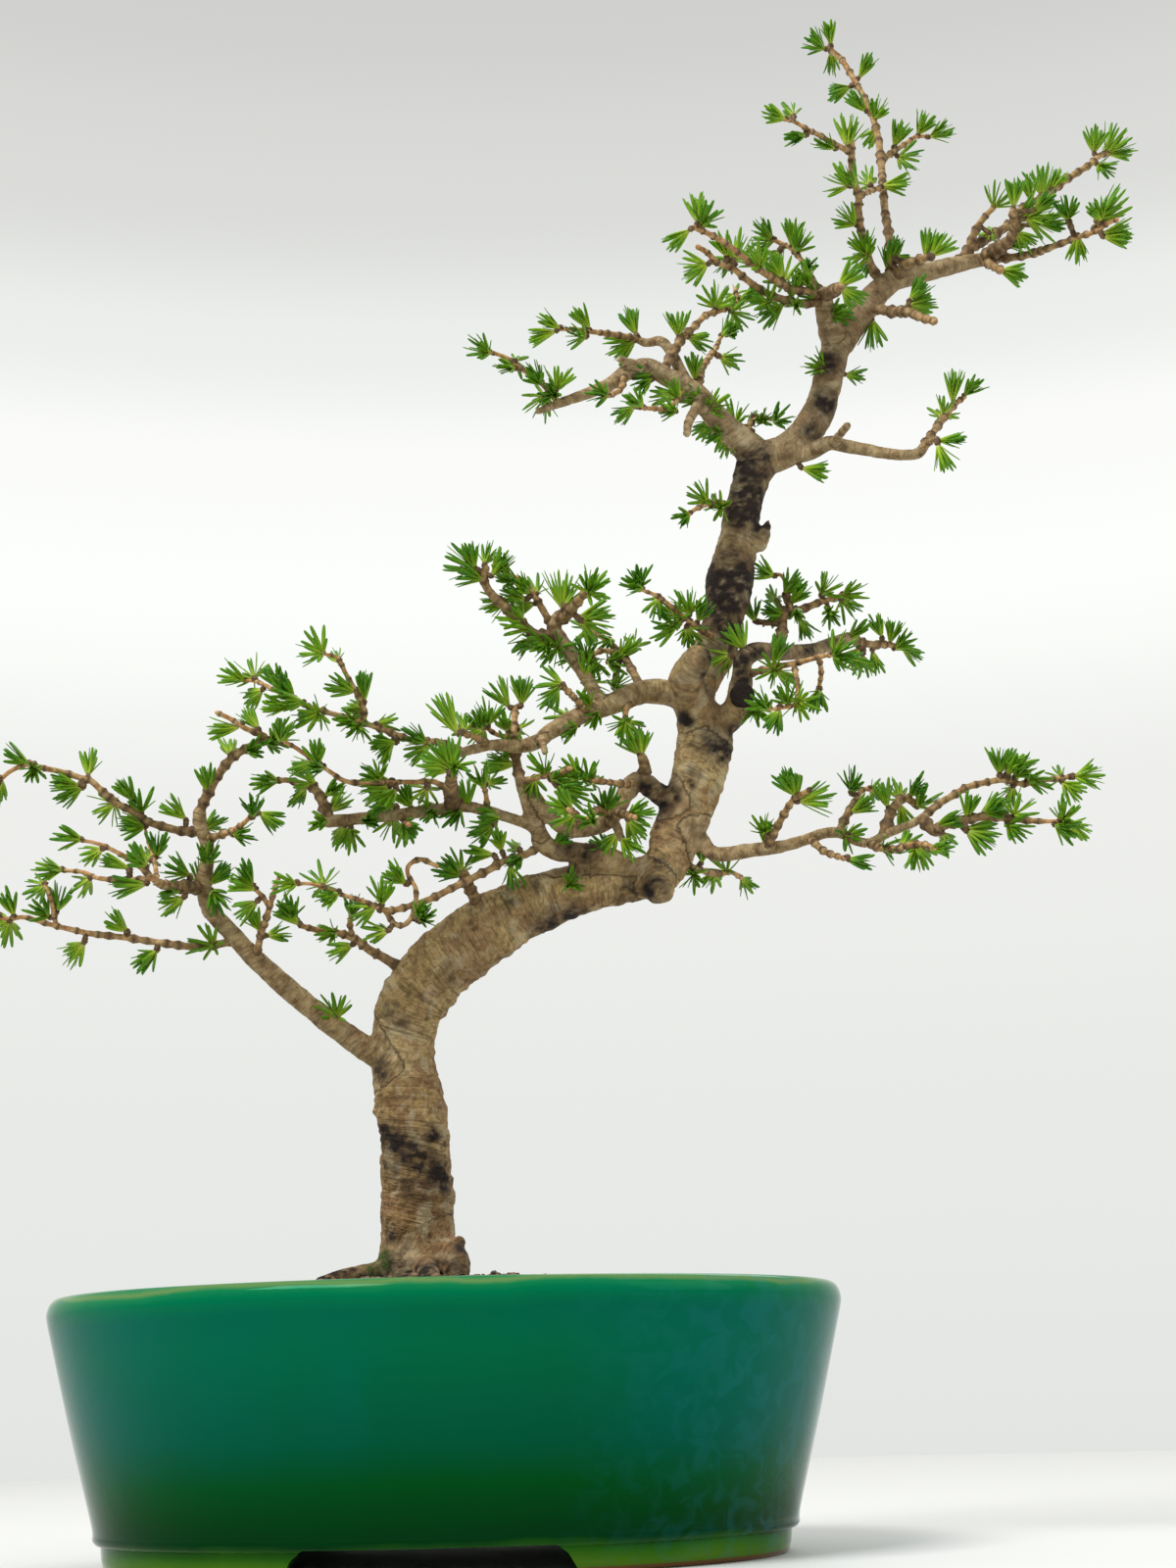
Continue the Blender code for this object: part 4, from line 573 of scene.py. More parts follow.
STEMS = lay_out()
print(len(STEMS), "stems,", sum(len(tufts_of(s)) for s in STEMS.values()), "tufts")


# %% [markdown]
# Colours are written as the hex values a picture shows. Blender works in linear light, so
# one function turns them over. Another adds a shader node with its settings and links,
# and a few short ones stand for sums and fades that every finish needs.

# %% Helpers for meshes
def show(name, data):
    """An object in the scene around a mesh, a lamp's data or a camera's."""
    obj = bpy.data.objects.new(name, data)
    bpy.context.scene.collection.objects.link(obj)
    return obj


def mesh_object(name, points, faces, *finishes):
    """An object whose points are given in the pot's frame, in mm."""
    mesh = bpy.data.meshes.new(name)
    mesh.from_pydata([Vector(p) * MM + POT_PLACE for p in points], [], faces)
    for finish in finishes:
        mesh.materials.append(finish)
    return show(name, mesh)


def hold(mesh, label, values):
    """Keeps one value a point on a mesh, for a material to read."""
    mesh.attributes.new(label, "FLOAT", "POINT").data.foreach_set("value", values)


def settle(obj):
    """Applies an object's modifiers, so that it becomes a plain mesh."""
    bpy.context.view_layer.update()
    shaped = bpy.data.meshes.new_from_object(
        obj.evaluated_get(bpy.context.evaluated_depsgraph_get()))
    obj.modifiers.clear()
    obj.data = shaped


# %% Helpers for finishes
def linear(hex_value):
    parts = [int(hex_value[i:i + 2], 16) / 255 for i in (1, 3, 5)]
    return [v / 12.92 if v <= 0.04045 else ((v + 0.055) / 1.055) ** 2.4 for v in parts] + [1.0]


def add(tree, kind, inputs=None, **settings):
    """A node with its settings; an input is a value or a socket to link."""
    node = tree.nodes.new(kind)
    for key, value in settings.items():
        setattr(node, key, value)
    for key, value in (inputs or {}).items():
        if isinstance(value, bpy.types.NodeSocket):
            tree.links.new(value, node.inputs[key])
        else:
            node.inputs[key].default_value = value
    return node


def ramp(tree, value, stops, smooth=False):
    """A colour ramp over (place, hex) stops."""
    node = add(tree, "ShaderNodeValToRGB", {0: value})
    node.color_ramp.interpolation = "EASE" if smooth else "LINEAR"
    while len(node.color_ramp.elements) < len(stops):
        node.color_ramp.elements.new(0.5)
    for element, (place, colour) in zip(node.color_ramp.elements, stops):
        element.position = place
        element.color = linear(colour)
    return node.outputs[0]


def mix(tree, share, first, second, blend="MIX"):
    """A blend of two colours. The numbers are the mix node's own colour sockets."""
    return add(tree, "ShaderNodeMix", {0: share, 6: first, 7: second}, data_type="RGBA",
               blend_type=blend).outputs[2]


def maths(tree, operation, first, second=0.0, clamp=False):
    return add(tree, "ShaderNodeMath", {0: first, 1: second}, operation=operation,
               use_clamp=clamp).outputs[0]


def times(tree, first, second):
    return maths(tree, "MULTIPLY", first, second)


def plus(tree, first, second):
    return maths(tree, "ADD", first, second)


def fade(tree, above, below, gain):
    """The lead of one value over another, times a gain and kept between 0 and 1."""
    return maths(tree, "MULTIPLY", maths(tree, "SUBTRACT", above, below), gain, clamp=True)


def held(tree, label):
    """A value held on the mesh's own points."""
    return add(tree, "ShaderNodeAttribute", attribute_name=label).outputs["Fac"]


def start(name, roughness, **values):
    """A material, its tree, its shader and its Object coordinates."""
    made = bpy.data.materials.new(name)
    made.use_nodes = True
    tree = made.node_tree
    shader = tree.nodes["Principled BSDF"]
    shader.inputs["Roughness"].default_value = roughness
    for key, value in values.items():
        shader.inputs[key.replace("_", " ")].default_value = value
    return made, tree, shader, add(tree, "ShaderNodeTexCoord").outputs["Object"]


def grain(tree, place, size_mm, detail=4, warp=0.0):
    """A noise whose patches are about size_mm across."""
    return add(tree, "ShaderNodeTexNoise", {"Vector": place, "Scale": 1 / MM / size_mm,
                                            "Detail": detail, "Distortion": warp}).outputs[0]


def relief(tree, shader, height, depth_mm):
    bump = add(tree, "ShaderNodeBump", {"Height": height, "Distance": depth_mm * MM,
                                        "Strength": 1.0})
    tree.links.new(bump.outputs[0], shader.inputs["Normal"])


# %% [markdown]
# The pot is stoneware under a copper-green glaze. The glaze ran as it melted, so it is
# thin and ochre on the edges of the rim and the feet. The wall is deep green, darker towards
# the bottom and darkest just above the feet, with clouds of teal and a fine milky bloom on
# the right. It is glossy, as glass is.
# Heights and distances in a finish are in metres, as its Object coordinates are.

# %% Green glaze
RAMP_HEIGHT = 110
BARE_CLAY_TOP = 0.0018
TEAL_ASIDE = 0.045
TEAL_ABOVE = 0.02
RIM_UNDERSIDE = 0.092
MILKY_ASIDE = 0.04


def green_glaze():
    made, tree, shader, place = start("copper_green_glaze", 0.05, Specular_IOR_Level=0.1)
    shader.inputs["Specular Tint"].default_value = (0.2, 0.9, 0.6, 1)
    along, deep, height = add(tree, "ShaderNodeSeparateXYZ", {0: place}).outputs
    wander = times(tree, grain(tree, place, 40, 4), 0.006)
    level = times(tree, plus(tree, height, wander), 1 / MM / RAMP_HEIGHT)
    # Deep green up the wall, darker towards the bottom and darkest just above the feet.
    wall = ramp(tree, level, ((0.05, "#4E7414"), (0.09, "#2E6410"), (0.13, "#04300E"),
                              (0.3, "#004812"), (0.42, "#005236"), (0.7, "#00623E"),
                              (0.8, "#006040"), (0.855, "#006E46"), (0.875, "#147848"),
                              (0.888, "#66884E"), (0.9, "#2C7E4C"), (0.915, "#04744A"),
                              (1.0, "#006E46")))
    aside = maths(tree, "ABSOLUTE", plus(tree, along, -POT_PLACE.x))
    sides = fade(tree, aside, TEAL_ASIDE, 11.0)
    drift = grain(tree, place, 60, 5, 0.9)
    teal_share = maths(tree, "MULTIPLY", plus(tree, sides, maths(tree, "SUBTRACT", drift, 0.45)),
                       0.5, clamp=True)
    upper = fade(tree, height, TEAL_ABOVE, 30.0)
    below_rim = fade(tree, RIM_UNDERSIDE, height, 120.0)
    teal_share = times(tree, teal_share, times(tree, upper, below_rim))
    body = mix(tree, teal_share, wall, linear("#005F62"))
    milky = ramp(tree, grain(tree, place, 9, 9, 1.0), ((0.44, "#000000"), (0.6, "#FFFFFF")))
    rightward = fade(tree, along, POT_PLACE.x + MILKY_ASIDE, 14.0)
    milky_share = times(tree, times(tree, milky, rightward), 0.13)
    body = mix(tree, milky_share, body, linear("#2C7F90"))
    bare = maths(tree, "GREATER_THAN", BARE_CLAY_TOP, height)
    tree.links.new(mix(tree, bare, body, linear("#6B4A2C")), shader.inputs["Base Color"])
    relief(tree, shader, grain(tree, place, 14, 3), 0.1)
    return made


GLAZE = green_glaze()

# %% [markdown]
# A thrown or cast oval is one closed skin: up the outside, over the rolled rim and down
# the inside. Rings of points on a superellipse follow that profile. A loft of curves
# would do too, but rings keep the wall's thickness under control at every height.

# %% The pot
def oval_point(half_length, half_depth, turn):
    c, s = math.cos(turn), math.sin(turn)
    return (half_length * math.copysign(abs(c) ** (2 / OVAL_POWER), c),
            half_depth * math.copysign(abs(s) ** (2 / OVAL_POWER), s))


def smooth_line(points, per_step):
    """A smooth curve through points, of any number of coordinates."""
    line = [np.array(p, float) for p in points]
    line = [2 * line[0] - line[1], *line, 2 * line[-1] - line[-2]]
    found = []
    for i in range(1, len(line) - 2):
        p0, p1, p2, p3 = line[i - 1:i + 3]
        for k in range(per_step):
            t = k / per_step
            found.append(0.5 * (2 * p1 + (p2 - p0) * t + (2 * p0 - 5 * p1 + 4 * p2 - p3) * t ** 2
                                + (3 * p1 - p0 - 3 * p2 + p3) * t ** 3))
    found.append(line[-2])
    return found


def closed_faces(rings, count):
    """Faces that join rings of `count` points in turn and close both ends."""
    faces = []
    for r in range(rings - 1):
        for i in range(count):
            j = (i + 1) % count
            faces.append((r * count + i, r * count + j, (r + 1) * count + j, (r + 1) * count + i))
    faces.append(tuple(range(count))[::-1])
    faces.append(tuple((rings - 1) * count + i for i in range(count)))
    return faces


def skin(name, rings, finish):
    """A closed mesh over rings of points in the pot's frame, in mm."""
    points = [p for ring in rings for p in ring]
    return mesh_object(name, points, closed_faces(len(rings), len(rings[0])), finish)


def cut(obj, tools):
    """Takes the tools' shapes out of an object."""
    for tool in tools:
        step = obj.modifiers.new("cut", "BOOLEAN")
        step.operation = "DIFFERENCE"
        step.object = tool
        step.solver = "EXACT"
    settle(obj)
    for tool in tools:
        bpy.data.objects.remove(tool, do_unlink=True)


POT_SIDES = 144
GAP_SHY = 0.3
GAP_ROUND = 2
DRAIN_ENDS = (4, 24)
SHARP_EDGE = math.radians(50)
OUTSIDE = ((127.5, 99.5, 8.4), (129.4, 101.4, 9.2), (130.5, 102.5, 10.8), (130.4, 102.4, 12.6),
           (131.3, 103.2, 17), (135.4, 106.6, 32), (140.2, 110.4, 50), (144.8, 114, 68),
           (148.6, 116.8, 83), (149.7, 117.7, 87.6), (150, 118, 90.2), (149.3, 117.3, 93.3),
           (147.7, 115.7, 95.4), (145.5, 113.7, 96), (143.1, 111.3, 95.2), (141.4, 109.6, 92.8),
           (140.6, 108.8, 88), (133, 102, 54), (126, 95.6, 23), (124.4, 94, 18.6),
           (120, 90, FLOOR_TOP))
FEET = ((114.6, 86.6, 0), (124.8, 96.8, 0), (126.2, 98.2, 0.9), (127, 99, 4))
UNDER = ((112, 84, FLOOR_UNDERSIDE), (113.4, 85.4, 8.6), (113.8, 85.8, 1))
profile = [*UNDER, *FEET, *smooth_line(OUTSIDE, 3)]
turns = [math.tau * i / POT_SIDES for i in range(POT_SIDES)]
rings = [[(*oval_point(a, b, t), z) for t in turns] for a, b, z in profile]
pot = skin("pot_body", rings, GLAZE)
gap_top = FLOOR_UNDERSIDE - GAP_SHY
half_top = FOOT_GAP_TOP / 2
right_edge = ((FOOT_GAP_BOTTOM / 2 + 1, -2), (half_top + GAP_ROUND, gap_top - 3),
              (half_top - GAP_ROUND, gap_top))
gap_outline = [*right_edge, *((-x, z) for x, z in reversed(right_edge))]
gap_ring = [[(x, y, z) for x, z in gap_outline] for y in (POT_DEPTH, -POT_DEPTH)]
tools = [skin("foot_gap", gap_ring, GLAZE)]
for x in (-DRAIN_X, DRAIN_X):
    tools.append(skin("drain", [[(x + DRAIN_RADIUS * math.cos(t), DRAIN_RADIUS * math.sin(t), z)
                                 for t in turns[::6]] for z in DRAIN_ENDS], GLAZE))
cut(pot, tools)
pot.data.shade_smooth()
pot.data.set_sharp_from_angle(angle=SHARP_EDGE)
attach(pot, "root")
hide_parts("pot")
print("pot", len(pot.data.polygons), "faces")

# %% [markdown]
# The soil is a shallow mound of dark, damp earth under loose grit. Only a thin line of it
# shows from the front, but from above it is the largest plain surface there is, so its
# grains are real ones, scattered by Geometry Nodes. Drawn-on grain would look flat there.

# %% Soil and grit finishes
def earth():
    made, tree, shader, place = start("damp_akadama_soil", 0.92)
    coarse = grain(tree, place, 5, 6, 0.4)
    colour = ramp(tree, coarse, ((0.3, "#1E150C"), (0.5, "#3A2A18"), (0.7, "#5A4328")))
    green = ramp(tree, grain(tree, place, 2.2, 5), ((0.3, "#23300F"), (0.7, "#5C7426")))
    mixed = mix(tree, held(tree, "moss"), colour, green)
    tree.links.new(mixed, shader.inputs["Base Color"])
    relief(tree, shader, grain(tree, place, 1.8, 6), 0.9)
    return made


def grit():
    made, tree, shader, place = start("loose_volcanic_grit", 0.85)
    colour = ramp(tree, held(tree, "tone"), ((0.0, "#2A1E14"), (0.3, "#54402A"), (0.6, "#7C5C3A"),
                                            (0.85, "#8C7A62"), (1.0, "#3C3A38")))
    tree.links.new(colour, shader.inputs["Base Color"])
    relief(tree, shader, grain(tree, place, 0.6, 4), 0.15)
    return made


EARTH = earth()
GRIT = grit()

# %% The mound
SOIL_AT_WALL = (140.3, 108.3)
SOIL_LOWEST = (125.2, 94.8)
SOIL_LOWEST_HEIGHT = 22
SOIL_FLAT = (118, 88)
SOIL_SEAT = 0.4
SOIL_SIDES = 120
SOIL_RINGS = 44
MOUND_LUMPS = ((1.5, 3, 0.05), (0.8, 9, 0.16))
MOSS_OFFSET = Vector((-14, -6))
MOSS_REACH = 42
foot = on_tree(*TRUNK[0][:2], 0)


def mound_height(share, x, y):
    """Height of the soil at a share of the way from the trunk to the wall."""
    bumps = sum(rise * noise.noise(Vector((x, y, layer)) * pitch)
                for rise, layer, pitch in MOUND_LUMPS)
    return SOIL_EDGE - 1 + SOIL_MOUND * (1 - share * share) + bumps * min(1, 4 * (1 - share))


def mound_spot(share, turn):
    """A place on the mound: x, y and height, at a share of the way to the wall."""
    x, y = oval_point(SOIL_AT_WALL[0] * share, SOIL_AT_WALL[1] * share, turn)
    x += foot.x * (1 - share)
    y += foot.y * (1 - share)
    return x, y, mound_height(share, x, y)


sides = [math.tau * i / SOIL_SIDES for i in range(SOIL_SIDES)]
rows = [[(*oval_point(*SOIL_FLAT, t), FLOOR_TOP + SOIL_SEAT) for t in sides],
        [(*oval_point(*SOIL_LOWEST, t), SOIL_LOWEST_HEIGHT) for t in sides],
        [(*oval_point(*SOIL_AT_WALL, t), SOIL_EDGE - 1) for t in sides]]
for step in range(SOIL_RINGS):
    share = 1 - (step + 0.4) / SOIL_RINGS
    rows.append([mound_spot(share, t) for t in sides])
soil = skin("soil_mound", rows, EARTH)
soil.data.shade_smooth()
moss = []
for vert in soil.data.vertices:
    spot = (vert.co - POT_PLACE) / MM
    away = math.dist(spot.xy, foot.xy + MOSS_OFFSET)
    patch = 0.5 + 0.9 * noise.noise(spot * 0.045) + 0.4 * noise.noise(spot * 0.2)
    moss.append(max(0, min(1, (1.5 - away / MOSS_REACH) * patch * 1.6)))
hold(soil.data, "moss", moss)
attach(soil, "root")
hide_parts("soil")
print("trunk stands at", [round(v, 1) for v in foot], "mm")

# %% [markdown]
# Repeats share one plan: a mesh of loose points carries a direction, a size and a tone for
# each copy, and Geometry Nodes sets one pattern shape on every point. Making the copies
# with a plain loop would also work, but slowly and with far more code for ten thousand.

# %% One Geometry Nodes tree for every repeat
def repeat_tree(name, finish):
    tree = bpy.data.node_groups.new(name, "GeometryNodeTree")
    face = tree.interface
    face.new_socket("Geometry", in_out="INPUT", socket_type="NodeSocketGeometry")
    face.new_socket("Spots", in_out="INPUT", socket_type="NodeSocketObject")
    face.new_socket("Pattern", in_out="INPUT", socket_type="NodeSocketObject")
    face.new_socket("Spin seed", in_out="INPUT", socket_type="NodeSocketInt")
    face.new_socket("Geometry", in_out="OUTPUT", socket_type="NodeSocketGeometry")
    start_node = add(tree, "NodeGroupInput")
    spots = add(tree, "GeometryNodeObjectInfo", {"Object": start_node.outputs["Spots"]})
    pattern = add(tree, "GeometryNodeObjectInfo", {"Object": start_node.outputs["Pattern"]})
    aim = add(tree, "GeometryNodeInputNamedAttribute", {"Name": "aim"}, data_type="FLOAT_VECTOR")
    size = add(tree, "GeometryNodeInputNamedAttribute", {"Name": "size"}, data_type="FLOAT_VECTOR")
    turned = add(tree, "FunctionNodeAlignRotationToVector", {"Vector": aim.outputs[0]}, axis="Z")
    spin = add(tree, "FunctionNodeRandomValue", {"Seed": start_node.outputs["Spin seed"]},
               data_type="FLOAT")
    spin.inputs[3].default_value = math.tau
    around = add(tree, "FunctionNodeAxisAngleToRotation", {"Axis": (0, 0, 1),
                                                           "Angle": spin.outputs[1]})
    rotation = add(tree, "FunctionNodeRotateRotation", {0: turned.outputs[0],
                                                        1: around.outputs[0]},
                   rotation_space="LOCAL")
    copies = add(tree, "GeometryNodeInstanceOnPoints", {
        "Points": spots.outputs["Geometry"], "Instance": pattern.outputs["Geometry"],
        "Rotation": rotation.outputs[0], "Scale": size.outputs[0]})
    real = add(tree, "GeometryNodeRealizeInstances", {"Geometry": copies.outputs[0]})
    dressed = add(tree, "GeometryNodeSetMaterial", {"Geometry": real.outputs[0],
                                                    "Material": finish})
    joined = add(tree, "GeometryNodeJoinGeometry")
    tree.links.new(dressed.outputs[0], joined.inputs[0])
    tree.links.new(start_node.outputs["Geometry"], joined.inputs[0])
    end = add(tree, "NodeGroupOutput")
    tree.links.new(joined.outputs[0], end.inputs[0])
    return tree


def spot_object(name, spots):
    """Loose points in the frame; each spot is (place in mm, aim, size, tone)."""
    holder = mesh_object(name, [s[0] for s in spots], [])
    mesh = holder.data
    for label, column in (("aim", 1), ("size", 2)):
        data = mesh.attributes.new(label, "FLOAT_VECTOR", "POINT").data
        data.foreach_set("vector", [v for s in spots for v in s[column]])
    hold(mesh, "tone", [s[3] for s in spots])
    return holder


def set_repeats(obj, tree, spots, pattern, seed):
    """Runs the tree on obj and keeps the result as a plain mesh."""
    holder = spot_object(obj.name + "_spots", spots)
    step = obj.modifiers.new("repeats", "NODES")
    step.node_group = tree
    sockets = {s.name: s.identifier for s in tree.interface.items_tree if s.in_out == "INPUT"}
    step[sockets["Spots"]] = holder
    step[sockets["Pattern"]] = pattern
    step[sockets["Spin seed"]] = seed
    settle(obj)
    obj.data.shade_smooth()
    bpy.data.objects.remove(holder, do_unlink=True)


def pattern_object(name, points, faces, along=None):
    """A pattern shape in metres. It is taken out of the scene at the end."""
    mesh = bpy.data.meshes.new(name)
    mesh.from_pydata([Vector(p) * MM for p in points], [], faces)
    if along:
        hold(mesh, "along", along)
    return show(name, mesh)


# %% Grit on the mound
GRAINS = 4200
GRAIN_RADII = (0.55, 1.5)
LARGE_SHARE = 0.08
LARGE_FACTOR = 1.3
GRIT_REACH = 0.975
TRUNK_CLEAR = 14
dice = random.Random(SEED)
shape = bmesh.new()
bmesh.ops.create_icosphere(shape, subdivisions=1, radius=1)
points = [v.co * dice.uniform(0.78, 1.18) for v in shape.verts]
faces = [tuple(v.index for v in f.verts) for f in shape.faces]
shape.free()
grain_shape = pattern_object("grain_pattern", points, faces)
spots = []
while len(spots) < GRAINS:
    turn = dice.uniform(0, math.tau)
    share = math.sqrt(dice.random()) * GRIT_REACH
    x, y, height = mound_spot(share, turn)
    if math.hypot(x - foot.x, y - foot.y) < TRUNK_CLEAR:
        continue
    size = dice.uniform(*GRAIN_RADII) * (LARGE_FACTOR if dice.random() < LARGE_SHARE else 1)
    lift = height + 0.2 * size
    tall = dice.uniform(0.55, 0.9)
    aim = (dice.gauss(0, 1), dice.gauss(0, 1), 2)
    spots.append(((x, y, lift), aim, (size, size, size * tall), dice.random()))
loose = mesh_object("soil_grit", [], [], GRIT)
set_repeats(loose, repeat_tree("grit on the soil", GRIT), spots, grain_shape, SEED)
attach(loose, "root")
print(len(spots), "grains")

# %% [markdown]
# Larch bark at this age is tan and mostly smooth, with dark ridges where it once healed,
# small warts and cross wrinkles. Broad colour comes from values held on the mesh, placed
# where the photograph shows them, and the fine grain comes from noise in real mm. The dark
# values also paint shade where wood passes behind other wood.

# %% Bark finishes
GREY_ABOVE = 0.3
RUST_BELOW = 0.215
WART_SPACING = 9


def old_bark():
    made, tree, shader, place = start("larch_bark", 0.8, Specular_IOR_Level=0.25)
    broad = grain(tree, place, 30, 4, 0.6)
    fine = grain(tree, place, 2.6, 10, 0.9)
    height = add(tree, "ShaderNodeSeparateXYZ", {0: place}).outputs[2]
    tan = ramp(tree, broad, ((0.3, "#9C8256"), (0.43, "#B69A68"), (0.56, "#CAAE7A"),
                             (0.7, "#D8C08E")))
    high = fade(tree, height, GREY_ABOVE, 8.0)
    tan = mix(tree, times(tree, high, 0.45), tan, linear("#8E8470"))
    low = fade(tree, RUST_BELOW, height, 9.0)
    tan = mix(tree, times(tree, low, 0.6), tan, linear("#8A6440"))
    mottle = ramp(tree, fine, ((0.36, "#40301F"), (0.47, "#C4B090"), (0.56, "#FFFFFF")))
    tan = mix(tree, 0.45, tan, mottle, "MULTIPLY")
    rusty = ramp(tree, grain(tree, place, 17, 6, 1.0), ((0.47, "#000000"), (0.6, "#FFFFFF")))
    tan = mix(tree, times(tree, rusty, 0.55), tan,
              mix(tree, fine, linear("#54301E"), linear("#A8805E")))
    plates = ramp(tree, grain(tree, place, 11, 5, 1.2), ((0.52, "#000000"), (0.62, "#FFFFFF")))
    tan = mix(tree, times(tree, plates, 0.5), tan, linear("#C8BA98"))
    slowed = add(tree, "ShaderNodeMapping", {0: place, 3: (0.4, 0.4, 0.4)}).outputs[0]
    along = add(tree, "ShaderNodeCombineXYZ", {0: times(tree, held(tree, "run"), 1.7)}).outputs[0]
    ringed = add(tree, "ShaderNodeVectorMath", {0: slowed, 1: along}, operation="ADD").outputs[0]
    bands = grain(tree, ringed, 5, 8, 1.0)
    cracks = ramp(tree, bands, ((0.36, "#3E2A1A"), (0.47, "#FFFFFF")), True)
    ring_share = maths(tree, "SUBTRACT", 0.38, times(tree, high, 0.28))
    tan = mix(tree, ring_share, tan, cracks, "MULTIPLY")
    warts = add(tree, "ShaderNodeTexVoronoi", {"Vector": place,
                                               "Scale": 1 / MM / WART_SPACING}).outputs[0]
    spots_of = ramp(tree, warts, ((0.06, "#3C2418"), (0.2, "#FFFFFF")), True)
    tan = mix(tree, 0.55, tan, spots_of, "MULTIPLY")
    young = ramp(tree, grain(tree, place, 4, 6), ((0.35, "#6A5238"), (0.5, "#A08660"),
                                                  (0.66, "#C4AC84")))
    tan = mix(tree, times(tree, held(tree, "thin"), 0.7), tan, young)
    # Dark bark where 'shade' is held: scars, the cut face, the damp foot, and painted shade where wood
    # passes behind other wood.
    scar_and_shade = mix(tree, fine, linear("#0C0A0A"), linear("#3A2C26"))
    tan = mix(tree, held(tree, "shade"), tan, scar_and_shade)
    mossy = mix(tree, fine, linear("#1C260C"), linear("#5F7430"))
    tan = mix(tree, held(tree, "moss"), tan, mossy)
    flakes = grain(tree, ringed, 1.6, 8, 0.4)
    tan = mix(tree, 0.3, tan, ramp(tree, flakes, ((0.38, "#5A4632"), (0.5, "#FFFFFF"))), "MULTIPLY")
    tree.links.new(tan, shader.inputs["Base Color"])
    ridges = plus(tree, times(tree, fine, 0.7),
                  times(tree, bands, times(tree, ring_share, 2.2)))
    ridges = plus(tree, ridges, times(tree, flakes, 0.45))
    relief(tree, shader, plus(tree, ridges, times(tree, spots_of, 0.25)), 1.5)
    return made


def twig_bark():
    made, tree, shader, place = start("young_larch_twig", 0.7, Specular_IOR_Level=0.35)
    fine = grain(tree, place, 2.2, 6)
    twice = times(tree, held(tree, "tone"), 2.0)
    woody = ramp(tree, fine, ((0.3, "#6A5030"), (0.5, "#9C7C50"), (0.7, "#C2A678")))
    orange = ramp(tree, fine, ((0.3, "#9C6838"), (0.5, "#C8925A"), (0.7, "#E0B888")))
    spur = ramp(tree, fine, ((0.3, "#2C1E16"), (0.7, "#5E4430")))
    low = maths(tree, "MINIMUM", twice, 1.0)
    high = maths(tree, "SUBTRACT", twice, 1.0, clamp=True)
    colour = mix(tree, high, mix(tree, low, spur, woody), orange)
    tree.links.new(colour, shader.inputs["Base Color"])
    relief(tree, shader, fine, 0.4)
    return made


BARK = old_bark()
TWIG_BARK = twig_bark()

# %% [markdown]
# Needles are soft and thin, so some light passes through them, shown here as a share of
# subsurface scatter. Each is pale where it leaves the bud and darker towards its tip.

# %% Needle finish
def needle_green():
    made, tree, shader, place = start("larch_needle_green", 0.5, Specular_IOR_Level=0.22,
                                      Subsurface_Weight=0.18, Subsurface_Scale=0.001)
    shader.inputs["Subsurface Radius"].default_value = (0.6, 1.0, 0.25)
    along = held(tree, "along")
    bright = ramp(tree, along, ((0.0, "#E0E482"), (0.2, "#B6CC3C"), (0.55, "#8CB420"),
                                (1.0, "#689C22")))
    deep = ramp(tree, along, ((0.0, "#BCCA60"), (0.2, "#7EA628"), (0.55, "#50861A"),
                              (1.0, "#347022")))
    colour = mix(tree, held(tree, "tone"), deep, bright)
    wash = ramp(tree, grain(tree, place, 30, 3), ((0.35, "#DCE6C0"), (0.65, "#FFFFFF")))
    tree.links.new(mix(tree, 0.6, colour, wash, "MULTIPLY"), shader.inputs["Base Color"])
    return made


NEEDLE_GREEN = needle_green()

# %% [markdown]
# Trunk and limbs grow as one, so their tubes are joined and melted into one skin by a
# voxel remesh, then swollen and dented by noise. Sculpting would give more say in each
# scar, but this keeps every width that was read off the photograph.

# %% Tubes along a smooth line
def smooth_rows(stem, fineness=2.4):
    """Rows of x, y, z and radius, close together along a stem."""
    rows = [(*p, r) for p, r in zip(stem.places, stem.radii)]
    gaps = [(Vector(b[:3]) - Vector(a[:3])).length for a, b in zip(rows, rows[1:])]
    return smooth_line(rows, max(2, math.ceil(sum(gaps) / len(gaps) / fineness)))


def tube(rows, count, round_end=True):
    """Vertices and faces of a closed tube along rows of x, y, z and radius."""
    line = [Vector(row[:3]) for row in rows]
    radii = [float(row[3]) for row in rows]
    if round_end:
        tail = (line[-1] - line[-2]).normalized()
        line += [line[-1] + tail * radii[-1] * 0.5, line[-1] + tail * radii[-1] * 0.85]
        radii += [radii[-1] * 0.82, radii[-1] * 0.4]
    points = []
    across = None
    for i, centre in enumerate(line):
        along = (line[min(i + 1, len(line) - 1)] - line[max(i - 1, 0)]).normalized()
        if across is None:
            across = along.orthogonal().normalized()
        across = (across - along * across.dot(along)).normalized()
        other = along.cross(across)
        for k in range(count):
            turn = math.tau * k / count
            points.append(centre + (across * math.cos(turn) + other * math.sin(turn)) * radii[i])
    return points, closed_faces(len(line), count)


def gather(blocks):
    """Joins blocks of points and faces into one list of each."""
    points, faces = [], []
    for more_points, more_faces in blocks:
        shift = len(points)
        points += more_points
        faces += [tuple(i + shift for i in face) for face in more_faces]
    return points, faces
